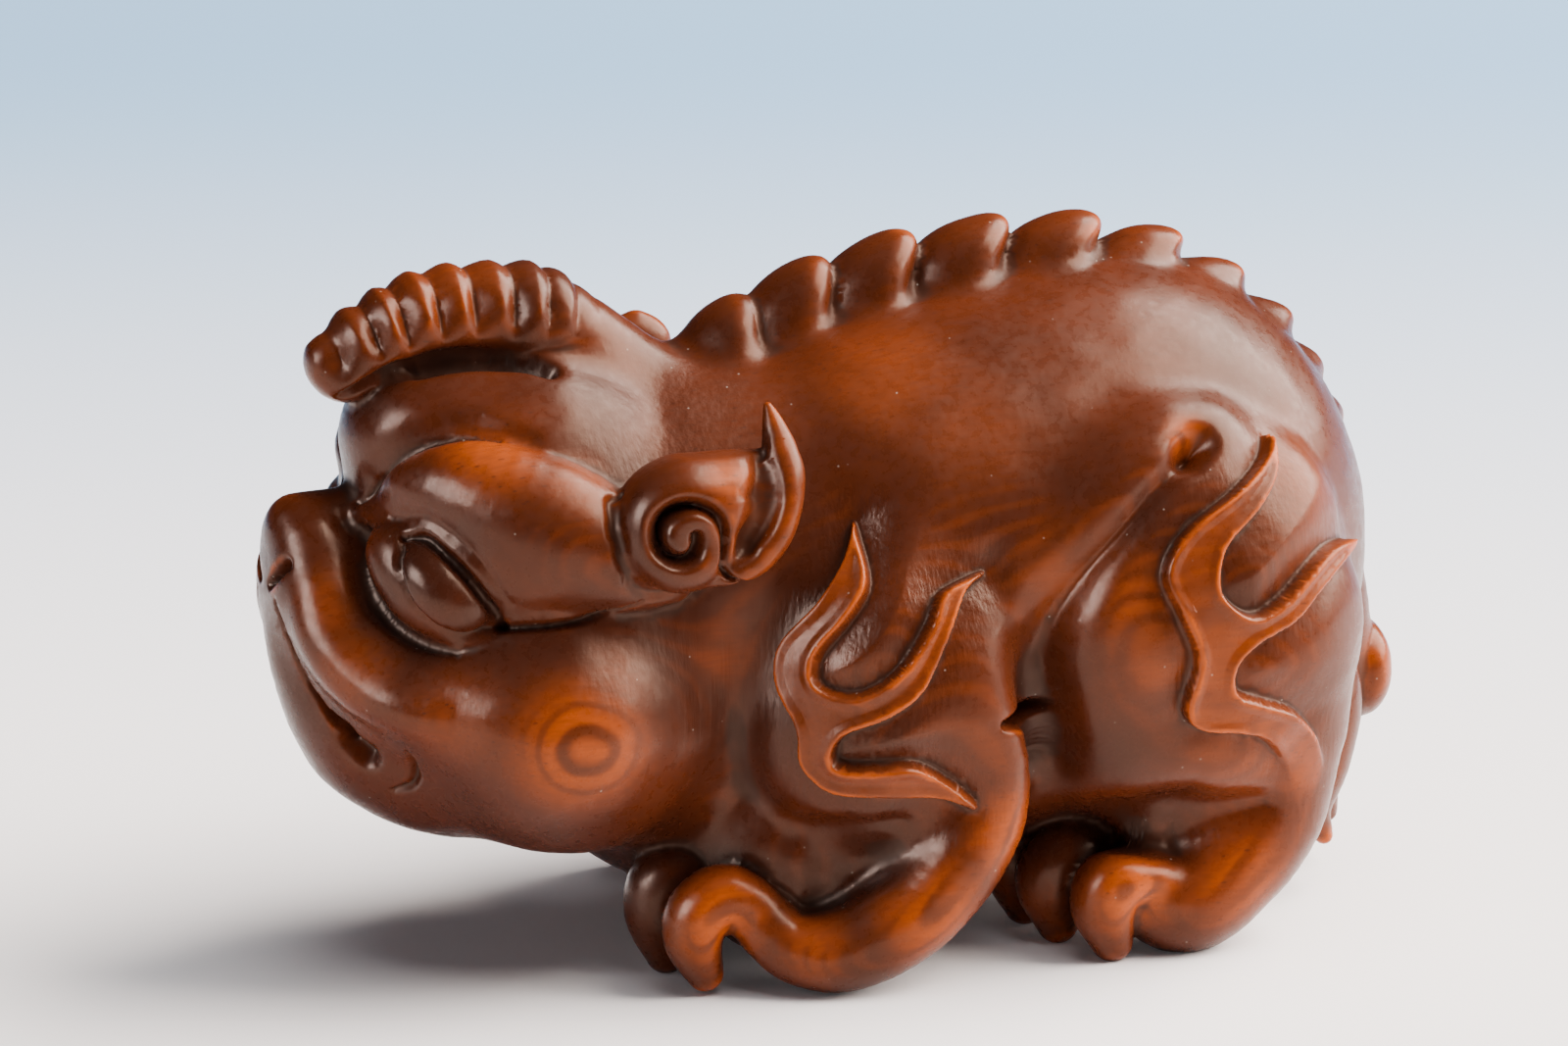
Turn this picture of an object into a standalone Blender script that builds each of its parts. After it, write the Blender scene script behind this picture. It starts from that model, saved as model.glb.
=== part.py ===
"""Boxwood netsuke of a crouching mythical beast, carved in one piece.

The beast is built up the way a carver blocks it out. Round masses and limbs are
placed by their size and place in millimetres, joined, and remeshed into one skin.
The skin settles onto the smooth union of the same masses, and every carved line is
then cut straight down into it. Head towards -X, tail towards +X, floor at Z = 0. The
beast's own left side is towards -Y, and its right side carries the same carving.
"""
import math

import bmesh
import bpy
import numpy as np
from mathutils import Euler, Matrix

for old in list(bpy.data.objects):
    bpy.data.objects.remove(old, do_unlink=True)

MM = 0.001
MIRROR = np.array([1.0, -1.0, 1.0])

# How the surface is made, lengths in millimetres
FIRST_VOXEL = 0.6
LAST_VOXEL = 0.36
TRIANGLES = 9200
LONGEST_MOVE = 0.6
SETTLE_ROUNDS = 5
SETTLE_EASING = 0.3
CUT_EASING = 4
EDGE_EASING = 0.25

# The two cord holes under the belly, joined by a bent tunnel
CORD_HOLE_RADIUS = 1.7
CORD_HOLE_SPACING = 8.4
CORD_TUNNEL_MIDDLE = (7.4, 0.0)
CORD_TUNNEL_DEPTH = 8.6


def smooth_union(a, b, blend):
    """Two distances as one, rounded over a width of blend where they meet."""
    if blend <= 0:
        return np.minimum(a, b)
    near = np.maximum(blend - np.abs(a - b), 0) / blend
    return np.minimum(a, b) - near * near * blend / 4


def curve_through(points, steps=6):
    """A smooth line through rows of numbers, with steps points to each row."""
    rows = np.array(points, float)
    rows = np.vstack([2 * rows[0] - rows[1], rows, 2 * rows[-1] - rows[-2]])
    line = []
    for a, b, c, d in zip(rows, rows[1:], rows[2:], rows[3:]):
        for t in np.arange(steps) / steps:
            line.append(0.5 * (2 * b + (c - a) * t + (2 * a - 5 * b + 4 * c - d) * t ** 2
                               + (3 * b - a - 3 * c + d) * t ** 3))
    line.append(rows[-2])
    return np.array(line)


def to_line(places, line):
    """Distance of every place to a line of 3-D points, and how far along it is, 0 to 1."""
    best = np.full(len(places), np.inf)
    along = np.zeros(len(places))
    runs = len(line) - 1
    for i in range(runs):
        start, run = line[i], line[i + 1] - line[i]
        offset = places - start
        t = np.clip(offset @ run / max(run @ run, 1e-12), 0, 1)
        gap = np.linalg.norm(offset - t[:, None] * run, axis=1)
        closer = gap < best
        best[closer] = gap[closer]
        along[closer] = (i + t[closer]) / runs
    return best, along


class Egg:
    """An ellipsoid of wood.

    blend is how wide it rounds into what is there already. far is how much further back
    its mirror image on the far side stands, or None for a mass on the middle line.
    """

    def __init__(self, centre, radii, turn=(0, 0, 0), blend=1.0, far=None):
        self.centre, self.radii = np.array(centre, float), np.array(radii, float)
        self.blend, self.far = blend, far
        self.axes = np.array(Euler([math.radians(a) for a in turn]).to_matrix())

    def distance(self, places):
        local = (places - self.centre) @ self.axes
        outer = np.sqrt(((local / self.radii) ** 2).sum(1)) + 1e-9
        inner = np.sqrt(((local / self.radii ** 2) ** 2).sum(1)) + 1e-9
        return outer * (outer - 1) / inner

    def near(self, places, reach):
        return (np.abs(places - self.centre) < self.radii.max() + reach).all(1)

    def beads(self):
        yield self.centre, self.radii, self.axes


class Limb:
    """A round limb along a curve, its rows x, y, z and radius."""

    def __init__(self, rows, blend=0.6, far=None):
        self.line = curve_through(rows, 5)
        self.blend, self.far = blend, far

    def distance(self, places):
        best = np.full(len(places), np.inf)
        for a, b in zip(self.line, self.line[1:]):
            run = b[:3] - a[:3]
            offset = places - a[:3]
            t = np.clip(offset @ run / max(run @ run, 1e-12), 0, 1)
            gap = np.linalg.norm(offset - t[:, None] * run, axis=1) - (a[3] + t * (b[3] - a[3]))
            best = np.minimum(best, gap)
        return best

    def near(self, places, reach):
        low = (self.line[:, :3] - self.line[:, 3:]).min(0) - reach
        high = (self.line[:, :3] + self.line[:, 3:]).max(0) + reach
        return ((places > low) & (places < high)).all(1)

    def beads(self):
        for row in self.line:
            yield row[:3], np.full(3, row[3]), np.eye(3)


# The masses
TRUNK = [
    Egg((4, 0, 18), (16, 13.6, 14.6), blend=0),
    Egg((14.0, 0, 18.6), (15.0, 13.4, 15.4), blend=4),
    Egg((-8, 0, 19.0), (9, 10.2, 11.4), blend=3),
    Egg((-4, 0, 9), (12, 9, 6.5), blend=3),
    Egg((-2, 0, 6.5), (10, 11, 4.2), blend=2),
]
HEAD = [
    Egg((-15.6, 0, 20.0), (9.6, 9.8, 10.6), blend=1.5),
    Egg((-16.6, 0, 25.2), (8.4, 8.2, 6.6), blend=0.8),
    Egg((-20.8, 0, 27.2), (4.9, 5.2, 4.7), blend=1.0),
    Egg((-19.2, 0, 14.0), (8.8, 7.7, 7.6), blend=2),
    Egg((-15.8, -6.7, 14.4), (7.4, 5.9, 7.2), blend=1.8, far=0),
    Limb([(-26.2, 0, 21.5, 2.6), (-27.1, 0, 19.5, 2.6), (-26.2, 0, 16.6, 3.0), (-23.8, 0, 13.9, 3.6)],
          blend=2.0),
    # upper lip, rolling back from the nose into the cheek
    Limb([(-27.9, -0.9, 22.6, 1.7), (-27.3, -2.0, 20.2, 2.3), (-26.2, -3.7, 17.7, 2.6),
          (-23.7, -6.0, 15.9, 2.9), (-20.3, -8.0, 14.9, 3.4)], blend=1.4, far=0),
    Limb([(-28.3, 0, 23.2, 1.4), (-25.6, 0, 22.9, 1.5)], blend=0.8),
]
BROW = [
    Limb([(-24.4, -2.3, 24.9, 0.8), (-22.8, -4.2, 25.9, 2.0), (-20.4, -6.2, 25.4, 3.1),
          (-17.4, -7.8, 23.9, 3.6), (-14.4, -9.1, 22.6, 2.7), (-11.9, -9.9, 21.5, 1.2)],
          blend=0.25, far=0),
]
EYE = [
    Egg((-22.4, -5.7, 20.8), (4.7, 2.7, 2.6), turn=(0, 40, -28), blend=0.5, far=0),
    Egg((-21.9, -6.6, 21.3), (3.1, 2.4, 1.8), turn=(0, 44, -28), blend=0.1, far=0),
]
CREST = [
    Limb([(-25.3, 0, 31.5, 1.9), (-23.8, 0, 32.5, 2.2), (-21.5, 0, 33.3, 2.5), (-18.5, 0, 33.5, 2.5),
          (-16.0, 0, 33.0, 2.5)], blend=0.2),
    Limb([(-16.0, 0, 32.9, 2.4), (-13.4, 0, 31.3, 2.5), (-10.8, 0, 29.2, 2.7), (-7.5, 0, 26.6, 3.2)],
          blend=1.6),
]
EAR = [
    Egg((-11.5, -10.0, 24.2), (3.5, 3.2, 3.3), blend=0.3, far=0),
    Egg((-8.6, -10.0, 24.8), (3.0, 2.2, 3.4), blend=0.4, far=0),
    Limb([(-10, -11.8, 21.4, 0.8), (-7.2, -12.2, 22.2, 1.0), (-5.6, -12.0, 24.8, 1.2),
          (-5.7, -10.9, 27.6, 1.0), (-6.3, -9.6, 29.4, 0.45)], blend=0.4, far=0),
]
# The far forepaw stands further back than the near one
PAW_BACK = 3.6


def foreleg(side, back):
    """From the elbow down to the wrist; back moves the paw end only."""
    rows = [(1.4, 10.6, 18.5, 3.4), (3.3, 11.9, 12.6, 3.5), (2.9, 12.6, 8.5, 3.1), (0.3, 13.0, 5.1, 2.7),
            (-2.6, 12.9, 2.7, 2.8), (-5.2, 12.0, 2.5, 2.6), (-7.2, 11.2, 3.6, 2.2)]
    share = (0, 0, 0.1, 0.4, 0.7, 1, 1)
    return Limb([(x + back * part, side * y, z, r) for (x, y, z, r), part in zip(rows, share)], blend=0.7)


FORELEG = [
    Egg((-0.8, -9.8, 15.0), (7.0, 5.8, 8.8), turn=(0, 8, 0), blend=1.2, far=0),
    foreleg(-1, 0),
    foreleg(1, PAW_BACK),
]
HINDLEG = [
    Egg((15.0, -9.6, 17.2), (10.3, 6.9, 11.8), turn=(0, -12, 0), blend=0.8, far=0),
    Limb([(20.4, -9.4, 10.0, 4.0), (19.7, -10.6, 6.6, 3.4), (17.6, -11.4, 4.1, 3.0),
          (15.2, -11.6, 2.55, 2.85), (12.9, -11.4, 3.3, 2.3)], blend=0.7, far=0),
]
TAIL = [
    # down the rump, then a fan of three locks under a curl
    Limb([(26.6, 0, 20.0, 1.8), (27.5, 0, 15.5, 2.4), (27.6, 0, 11.0, 2.8), (27.2, 0, 7.0, 2.3),
          (27.3, 0, 4.6, 1.6), (28.2, 0, 2.5, 0.6)], blend=0.8),
    Limb([(26.8, -1.4, 12.8, 1.8), (26.2, -3.2, 9.6, 2.3), (25.3, -4.3, 6.8, 2.1), (25.0, -4.5, 4.5, 1.4),
          (25.9, -4.9, 2.8, 0.5)], blend=0.3, far=0),
    Egg((29.9, 0, 10.3), (1.6, 2.5, 2.7), blend=0.25),
]


def toe(reach, side, root_side, back=0):
    """A toe that rises over its knuckle and curls its claw down to the floor."""
    return Limb([(reach + 4.0, side + root_side, 2.9, 1.9), (reach + 1.6, side + root_side / 2, 4.0, 2.0),
                 (reach - 0.2, side, 4.2, 1.9), (reach - 0.8, side, 3.0, 1.6),
                 (reach - 0.3, side, 1.0, 1.25)],
                blend=0.2, far=back)


TOES = [toe(-9.0, -10.2, -1.4, PAW_BACK), toe(-10.3, -6.3, 0, PAW_BACK), toe(-9.8, -3.2, 0, PAW_BACK)]
TOES += [toe(11.2, -12.4, 0.4), toe(9.7, -8.7, 0.4), toe(9.3, -5.2, 0.4)]

# Scales down the back: where each rear edge stands (x, z), and its length
SCALES = [(-3.8, 33.3, 3.7), (0.5, 35.0, 4.1), (5.2, 36.0, 4.4), (10.3, 36.3, 4.6), (15.4, 35.8, 4.6),
          (19.8, 34.2, 4.1), (23.0, 31.8, 3.6), (25.5, 29.2, 3.1), (27.0, 26.5, 2.5),
          (28.0, 23.9, 2.1), (28.4, 21.5, 1.7)]
SCALE_LIFT = 36
CUT_SCALES = 9


def back_scales():
    """Each scale leans forward by SCALE_LIFT against the slope of the back under it."""
    eggs = []
    for i, (x, z, size) in enumerate(SCALES):
        ahead, behind = SCALES[max(i - 1, 0)], SCALES[min(i + 1, len(SCALES) - 1)]
        slope = math.degrees(math.atan2(ahead[1] - behind[1], behind[0] - ahead[0]))
        tilt = math.radians(slope - SCALE_LIFT)
        reach = 0.80 * size
        centre = (x - reach * math.cos(tilt), 0, z - 0.30 * size + reach * math.sin(tilt))
        radii = (size, 0.72 * size, 0.60 * size)
        eggs.append(Egg(centre, radii, turn=(0, math.degrees(tilt), 0), blend=0.7))
    return eggs


MASSES = TRUNK + HEAD + BROW + EYE + CREST + EAR + FORELEG + HINDLEG + TAIL + TOES + back_scales()


def copies(mass):
    """The flip and the shift of each copy of a mass: as placed, then on the far side."""
    yield np.ones(3), np.zeros(3)
    if mass.far is not None:
        yield MIRROR, np.array([mass.far, 0, 0])


def uncarved(places, reach=2.5):
    """Distance of every place above the uncarved surface, true within reach of it."""
    total = np.full(len(places), 1e3)
    for mass in MASSES:
        for flip, back in copies(mass):
            seen = (places - back) * flip
            near = mass.near(seen, reach + mass.blend)
            if near.any():
                total[near] = smooth_union(total[near], mass.distance(seen[near]), mass.blend)
    return total


def land(points):
    """Points dropped onto the uncarved surface along its own slope."""
    places, step, reach = np.array(points, float), 0.05, 6
    for _ in range(8):
        here = uncarved(places, reach)
        slope = np.stack([uncarved(places + step * axis, reach) - here for axis in np.eye(3)], 1) / step
        places = places - slope * (np.clip(here, -1, 1) / np.maximum((slope ** 2).sum(1), 0.2))[:, None]
    return places


class Line:
    """A groove along points that lie on the surface; ends and middle scale its size."""

    def __init__(self, points, width, depth, ends=(1.0, 1.0), middle=1.0):
        self.line = land(curve_through(points))
        self.width, self.depth, self.ends, self.middle = width, depth, ends, middle
        self.low, self.high = self.line.min(0) - 3 * width, self.line.max(0) + 3 * width

    def carve(self, places):
        out = np.zeros(len(places))
        near = ((places > self.low) & (places < self.high)).all(1)
        if near.any():
            gap, along = to_line(places[near], self.line)
            size = np.interp(along, (0, 0.5, 1), (self.ends[0], self.middle, self.ends[1]))
            shape = np.exp(-(gap / (self.width * np.maximum(size, 0.3))) ** 2)
            out[near] = self.depth * size * shape
        return out


FLAME_RISE = 0.35
FLAME_SINK = 0.35
FLAME_RIM = 0.75
FLAME_EDGE = 0.28
GROUND_DEPTH = 0.75
GROUND_WIDTH = 1.6


def smooth_step(value, low, high):
    """0 below low, 1 above high, and an S-curve between."""
    t = np.clip((value - low) / (high - low), 0, 1)
    return t * t * (3 - 2 * t)


class Flame:
    """A raised band of flame with a sunk middle, and the ground cut away around it."""

    def __init__(self, outline):
        self.line = land(curve_through(outline + outline[:1], 5))
        self.low, self.high = self.line.min(0) - 3.5, self.line.max(0) + 3.5

    def carve(self, places):
        out = np.zeros(len(places))
        near = ((places > self.low) & (places < self.high)).all(1)
        if not near.any():
            return out
        here = places[near]
        gap, _ = to_line(here, self.line)
        x, z = here[:, 0], here[:, 2]
        inside = np.zeros(len(here), bool)
        for a, b in zip(self.line, self.line[1:]):
            crosses = (a[2] > z) != (b[2] > z)
            with np.errstate(divide="ignore", invalid="ignore"):
                at = a[0] + (z - a[2]) * (b[0] - a[0]) / (b[2] - a[2])
            inside ^= crosses & (x < at)
        band = FLAME_SINK * smooth_step(gap, 0.6 * FLAME_RIM, 1.4 * FLAME_RIM) - FLAME_RISE
        band += 0.9 * FLAME_RISE * np.exp(-(gap / FLAME_EDGE) ** 2)
        ground = GROUND_DEPTH * np.exp(-(gap / GROUND_WIDTH) ** 1.5) * np.clip(gap / FLAME_EDGE, 0, 1)
        out[near] = np.where(inside, band, ground)
        return out


SHOULDER_FLAME = [
    (-2.8, -11.3, 24.1), (-2.7, -13.2, 21.5), (-3.8, -13.7, 19.8), (-5.5, -13.5, 17.8), (-5.7, -14.0, 16.5),
    (-4.0, -14.8, 16.0), (-1.9, -15.3, 17.1), (-0.1, -14.9, 19.2), (1.0, -14.2, 20.8), (3.6, -13.8, 21.5),
    (2.2, -14.1, 20.6), (0.7, -15.1, 18.2), (-0.6, -15.5, 16.1), (-2.3, -15.4, 14.9), (-4.6, -14.7, 13.9),
    (-4.9, -14.4, 12.4), (-3.0, -14.8, 12.2), (-1.0, -15.2, 12.2), (0.8, -15.0, 11.2), (2.3, -15.6, 9.6),
    (0.2, -14.8, 10.3), (-2.7, -14.7, 10.6), (-5.0, -13.8, 10.9), (-6.3, -13.2, 12.3), (-6.5, -13.2, 14.2),
    (-7.1, -12.0, 16.3), (-6.9, -11.8, 18.2), (-5.2, -12.5, 20.3), (-3.8, -12.2, 22.2)]
HAUNCH_FLAME = [
    (19.6, -11.9, 27.0), (19.0, -13.8, 25.1), (17.5, -15.0, 23.6), (15.6, -15.8, 22.2), (15.0, -16.2, 20.7),
    (15.3, -16.3, 19.5), (16.8, -16.3, 18.5), (18.6, -15.9, 19.1), (20.9, -14.9, 20.6), (22.6, -13.6, 21.1),
    (24.8, -11.3, 20.6), (22.9, -13.6, 20.2), (21.0, -15.0, 19.2), (19.2, -15.9, 17.9), (17.0, -16.4, 17.0),
    (15.9, -16.5, 16.0), (16.0, -16.3, 14.6), (17.4, -16.1, 13.9), (19.6, -15.4, 12.9), (21.1, -14.2, 11.0),
    (19.2, -14.6, 9.9), (18.0, -15.5, 11.6), (16.3, -15.9, 12.3), (14.1, -16.0, 12.7), (13.2, -16.2, 13.9),
    (13.7, -16.4, 16.6), (12.9, -16.3, 18.8), (12.1, -15.9, 21.0), (13.4, -15.5, 23.0), (16.3, -14.8, 24.6),
    (18.4, -13.4, 25.8)]


# The scroll in the ear, which winds in from its outer radius
SCROLL_MIDDLE = (-11.7, -12.9, 24.1)
SCROLL_RADII = (1.75, 0.3)
SCROLL_START = -52
SCROLL_TURN = 527


def ear_scroll():
    x, y, z = SCROLL_MIDDLE
    points = []
    for t in np.linspace(0, 1, 12):
        radius = SCROLL_RADII[0] + t * (SCROLL_RADII[1] - SCROLL_RADII[0])
        angle = math.radians(SCROLL_START + t * SCROLL_TURN)
        points.append((x + radius * math.cos(angle), y, z + radius * math.sin(angle)))
    return points


def carved_lines():
    """Every carved line of one side; the other side is its mirror image."""
    return [
        # mouth, across under the nose and back to its corner, and the curl behind it
        Line([(-29.9, 0, 20.6), (-29.8, -1.8, 20.0), (-29.2, -2.7, 17.8), (-28.1, -3.2, 15.3),
              (-27.1, -4.1, 13.6), (-26.2, -4.8, 12.6)], 0.5, 1.5, ends=(0.4, 1.2), middle=0.8),
        Line([(-25.5, -6.9, 13.8), (-24.7, -7.5, 13.3), (-24.2, -6.6, 12.2), (-24.6, -5.6, 11.4)],
              0.35, 0.7),
        # nostril
        Line([(-29.2, -2.9, 22.3), (-29.8, -2.2, 20.9)], 0.42, 1.2, ends=(0.9, 0.9)),
        # the crevice round the eye
        Line([(-25.8, -2.6, 24.0), (-25.7, -3.5, 21.5), (-25.0, -5.1, 19.3), (-23.3, -7.3, 18.2),
              (-20.8, -9.7, 18.6)],
             0.6, 0.9, ends=(0.9, 0.5)),
        # round the eyeball, above and below
        Line([(-24.8, -6.0, 23.6), (-23.3, -7.0, 23.4), (-22.0, -7.7, 22.7), (-21.0, -8.2, 21.5),
              (-20.4, -9.0, 19.8)],
             0.4, 0.6, ends=(0.6, 0.8)),
        Line([(-24.4, -6.6, 22.9), (-24.1, -7.4, 21.6), (-23.1, -8.3, 20.4), (-21.7, -8.8, 19.5),
              (-20.4, -9.2, 19.5)],
             0.35, 0.5, ends=(0.6, 0.7)),
        # under the brow to the ear
        Line([(-20.3, -9.6, 19.7), (-18.4, -10.4, 19.9), (-16.4, -10.7, 20.2), (-14.0, -11.1, 20.9),
              (-12.0, -11.4, 21.6)], 0.45, 0.9, ends=(1, 0.5)),
        # over the brow
        Line([(-25.6, -2.6, 24.8), (-24.4, -4.6, 27.4), (-22.6, -5.9, 28.4), (-20.2, -6.8, 28.6),
              (-17.6, -8.1, 27.8), (-15.6, -9.5, 26.4), (-14.2, -10.4, 25.0)],
              0.5, 0.6, ends=(0.7, 0.8)),
        # round the ear, and its spiral
        Line([(-14.9, -10.8, 26.6), (-15.2, -11.4, 23.6), (-13.2, -11.5, 21.4), (-9.9, -12.3, 20.6),
              (-6.6, -12.6, 21.3), (-4.2, -12.2, 23.6), (-3.9, -11.4, 26.6), (-4.6, -10.3, 28.6)],
              0.8, 1.0, ends=(0.6, 0.5)),
        Line(ear_scroll(), 0.33, 1.0, ends=(1, 0.6)),
        # the front of the thigh
        Line([(14.6, -13.5, 27.0), (12.3, -14.1, 25.7), (9.7, -14.1, 24.1), (7.6, -14.2, 21.8),
              (6.2, -14.4, 19.5), (5.6, -14.4, 16.8), (5.8, -14.0, 13.0), (6.8, -13.0, 9.0)],
              1.1, 1.7, ends=(0.8, 1.4)),
        # the hollows along the forearm and above the hind foot
        Line([(11.2, -11.9, 7.4), (13.1, -13.5, 7.3), (15.4, -13.8, 7.3), (18.6, -13.7, 7.9)],
              1.1, 1.5, ends=(0.8, 0.4)),
        Line([(8.6, -13.4, 10.4), (12.5, -14.6, 9.2), (16.0, -14.6, 9.0), (19.5, -13.6, 9.8)],
              0.7, 0.7, ends=(0.8, 0.2)),
        Line([(-6.0, -11.6, 7.4), (-3.3, -12.2, 7.0), (-0.6, -14.0, 7.3), (1.2, -15.0, 8.4)],
              1.5, 1.5, ends=(0.9, 0.5)),
        # the nick behind the elbow
        Line([(5.9, -14.2, 13.6), (7.2, -12.6, 13.2)], 0.6, 1.4, ends=(0.6, 1.2)),
    ]


def scale_edges():
    """The free rear edge of each back scale, from its top down and forward to the flank."""
    lines = []
    for x, z, size in SCALES[:CUT_SCALES]:
        points = [(x + 0.2, 0, z - 0.9), (x + 0.25 * size, -0.35 * size, z - 0.30 * size),
                  (x + 0.05 * size, -0.66 * size, z - 0.62 * size),
                  (x - 0.45 * size, -0.82 * size, z - 0.95 * size)]
        lines.append(Line(points, 0.11 * size, 0.2 * size, ends=(0.8, 0.5)))
    return lines


# Where each groove of the crest crosses its top, and its shape
CREST_RIBS = [-27.6, -25.1, -23.3, -21.3, -19.3, -17.2, -15.2, -13.4, -11.9, -10.6]
CREST_PEAK = 0.62
CREST_DEPTH = 1.15
CREST_HALF_WIDTH = 4
CREST_FOOT = [(-27, 30.4), (-24, 32.4), (-20, 33.3), (-15, 32.5), (-11, 30.8)]
CREST_FADE = [(-27.0, 0), (-26.2, 1), (-14, 1), (-10.8, 0)]


def crest_ribs(places):
    """Grooves across the comb; each rib rises slowly from the front and drops steeply behind."""
    out = np.zeros(len(places))
    foot = min(z for x, z in CREST_FOOT) - 1
    near = (places[:, 0] < CREST_RIBS[-1]) & (np.abs(places[:, 1]) < CREST_HALF_WIDTH)
    near &= places[:, 2] > foot
    if near.any():
        x, _, z = places[near].T
        turn = np.interp(x, CREST_RIBS, np.arange(len(CREST_RIBS)))
        phase = turn - np.floor(turn)
        rise = np.where(phase < CREST_PEAK, phase / CREST_PEAK, (1 - phase) / (1 - CREST_PEAK))
        low = np.interp(x, *zip(*CREST_FOOT))
        fade = np.interp(x, *zip(*CREST_FADE))
        out[near] = CREST_DEPTH * fade * (1 - rise ** 0.55) * np.clip((z - low) / 1.2, 0, 1)
    return out


def carved_depth(places):
    """How deep the carving goes under each place of the uncarved surface."""
    left = places * (1, 0, 1) - np.abs(places) * (0, 1, 0)
    depth = crest_ribs(left)
    for line in carved_lines() + scale_edges() + [Flame(SHOULDER_FLAME), Flame(HAUNCH_FLAME)]:
        depth = depth + line.carve(left)
    return depth


def block_in():
    """Every mass as Blender spheres, joined into one rough object."""
    bpy.ops.mesh.primitive_ico_sphere_add(subdivisions=3, radius=1)
    ball = bpy.context.object
    points = np.array([vertex.co for vertex in ball.data.vertices])
    faces = np.array([face.vertices[:] for face in ball.data.polygons])
    bpy.data.objects.remove(ball, do_unlink=True)
    all_points, all_faces, count = [], [], 0
    for mass in MASSES:
        for centre, radii, axes in mass.beads():
            for flip, back in copies(mass):
                all_points.append(((points * radii) @ axes.T + centre) * flip + back)
                all_faces.append((faces if flip[1] > 0 else faces[:, ::-1]) + count)
                count += len(points)
    mesh = bpy.data.meshes.new("beast_netsuke")
    mesh.from_pydata(np.vstack(all_points), [], np.vstack(all_faces).tolist())
    beast = bpy.data.objects.new("beast_netsuke", mesh)
    bpy.context.collection.objects.link(beast)
    bpy.context.view_layer.objects.active = beast
    beast.select_set(True)
    return beast


def remesh(beast, voxel):
    beast.data.remesh_voxel_size = voxel
    beast.data.remesh_voxel_adaptivity = 0
    bpy.ops.object.voxel_remesh()


def read(collection, name, width):
    numbers = np.empty(len(collection) * width, np.float32)
    collection.foreach_get(name, numbers)
    return numbers.reshape(-1, width).astype(float)


def relaxed(places, edges, share):
    """Each vertex moved part of the way to the middle of its neighbours."""
    total, count = np.zeros_like(places), np.zeros(len(places))
    for a, b in ((0, 1), (1, 0)):
        for k in range(3):
            total[:, k] += np.bincount(edges[:, a], weights=places[edges[:, b], k], minlength=len(places))
        count += np.bincount(edges[:, a], minlength=len(places))
    return places + share * (total / np.maximum(count, 1)[:, None] - places)


def settle(beast):
    """The skin moves onto the uncarved surface, easing its own spacing between moves."""
    mesh = beast.data
    edges = read(mesh.edges, "vertices", 2).astype(int)
    for turn in range(SETTLE_ROUNDS):
        places = read(mesh.vertices, "co", 3)
        move = np.clip(uncarved(places), -LONGEST_MOVE, LONGEST_MOVE)
        places = places - read(mesh.vertex_normals, "vector", 3) * move[:, None]
        if turn < SETTLE_ROUNDS - 1:
            places = relaxed(places, edges, SETTLE_EASING)
        mesh.vertices.foreach_set("co", places.astype(np.float32).ravel())
        mesh.update()


def engrave(beast):
    """The carving cut straight down into the settled surface."""
    mesh = beast.data
    edges = read(mesh.edges, "vertices", 2).astype(int)
    down = read(mesh.vertex_normals, "vector", 3)
    for _ in range(CUT_EASING):
        down = relaxed(down, edges, 0.8)
    down /= np.maximum(np.linalg.norm(down, axis=1), 1e-9)[:, None]
    places = read(mesh.vertices, "co", 3)
    places = places - down * carved_depth(places)[:, None]
    places = relaxed(places, edges, EDGE_EASING)
    mesh.vertices.foreach_set("co", places.astype(np.float32).ravel())
    mesh.update()


def carve_beast():
    beast = block_in()
    for voxel in (FIRST_VOXEL, LAST_VOXEL):
        remesh(beast, voxel)
        settle(beast)
    engrave(beast)
    return beast


def cut_floor(beast):
    """The pads and claws are flat where they stand."""
    body = bmesh.new()
    body.from_mesh(beast.data)
    everything = body.verts[:] + body.edges[:] + body.faces[:]
    cut = bmesh.ops.bisect_plane(body, geom=everything, dist=1e-5, plane_co=(0, 0, 0), plane_no=(0, 0, -1),
                                 clear_outer=True)
    rim = [item for item in cut["geom_cut"] if isinstance(item, bmesh.types.BMEdge)]
    bmesh.ops.holes_fill(body, edges=rim, sides=0)
    bmesh.ops.triangulate(body, faces=body.faces[:])
    bmesh.ops.recalc_face_normals(body, faces=body.faces[:])
    body.to_mesh(beast.data)
    body.free()


def cord_tunnel():
    """A bent round tunnel that opens twice under the belly, for the cord."""
    x, y = CORD_TUNNEL_MIDDLE
    half = CORD_HOLE_SPACING / 2
    start, bend, shoulder = 0.5, 0.52 * CORD_TUNNEL_DEPTH, 0.86 * CORD_TUNNEL_DEPTH
    down = [(half, start), (half, bend), (0.6 * half, shoulder)]
    points = [(x - out, y, z) for out, z in down] + [(x, y, CORD_TUNNEL_DEPTH)]
    points += [(x + out, y, z) for out, z in reversed(down)]
    route = curve_through(points, 3)
    data = bpy.data.curves.new("cord_tunnel_cutter", "CURVE")
    data.dimensions = "3D"
    spline = data.splines.new("POLY")
    spline.points.add(len(route) - 1)
    for point, place in zip(spline.points, route):
        point.co = (*(place * MM), 1)
    data.bevel_depth = CORD_HOLE_RADIUS * MM
    data.bevel_resolution = 4
    data.use_fill_caps = True
    cutter = bpy.data.objects.new("cord_tunnel_cutter", data)
    bpy.context.collection.objects.link(cutter)
    bpy.ops.object.select_all(action="DESELECT")
    cutter.select_set(True)
    bpy.context.view_layer.objects.active = cutter
    bpy.ops.object.convert(target="MESH")
    cutter.hide_render = True
    cutter.display_type = "WIRE"
    return cutter


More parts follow.
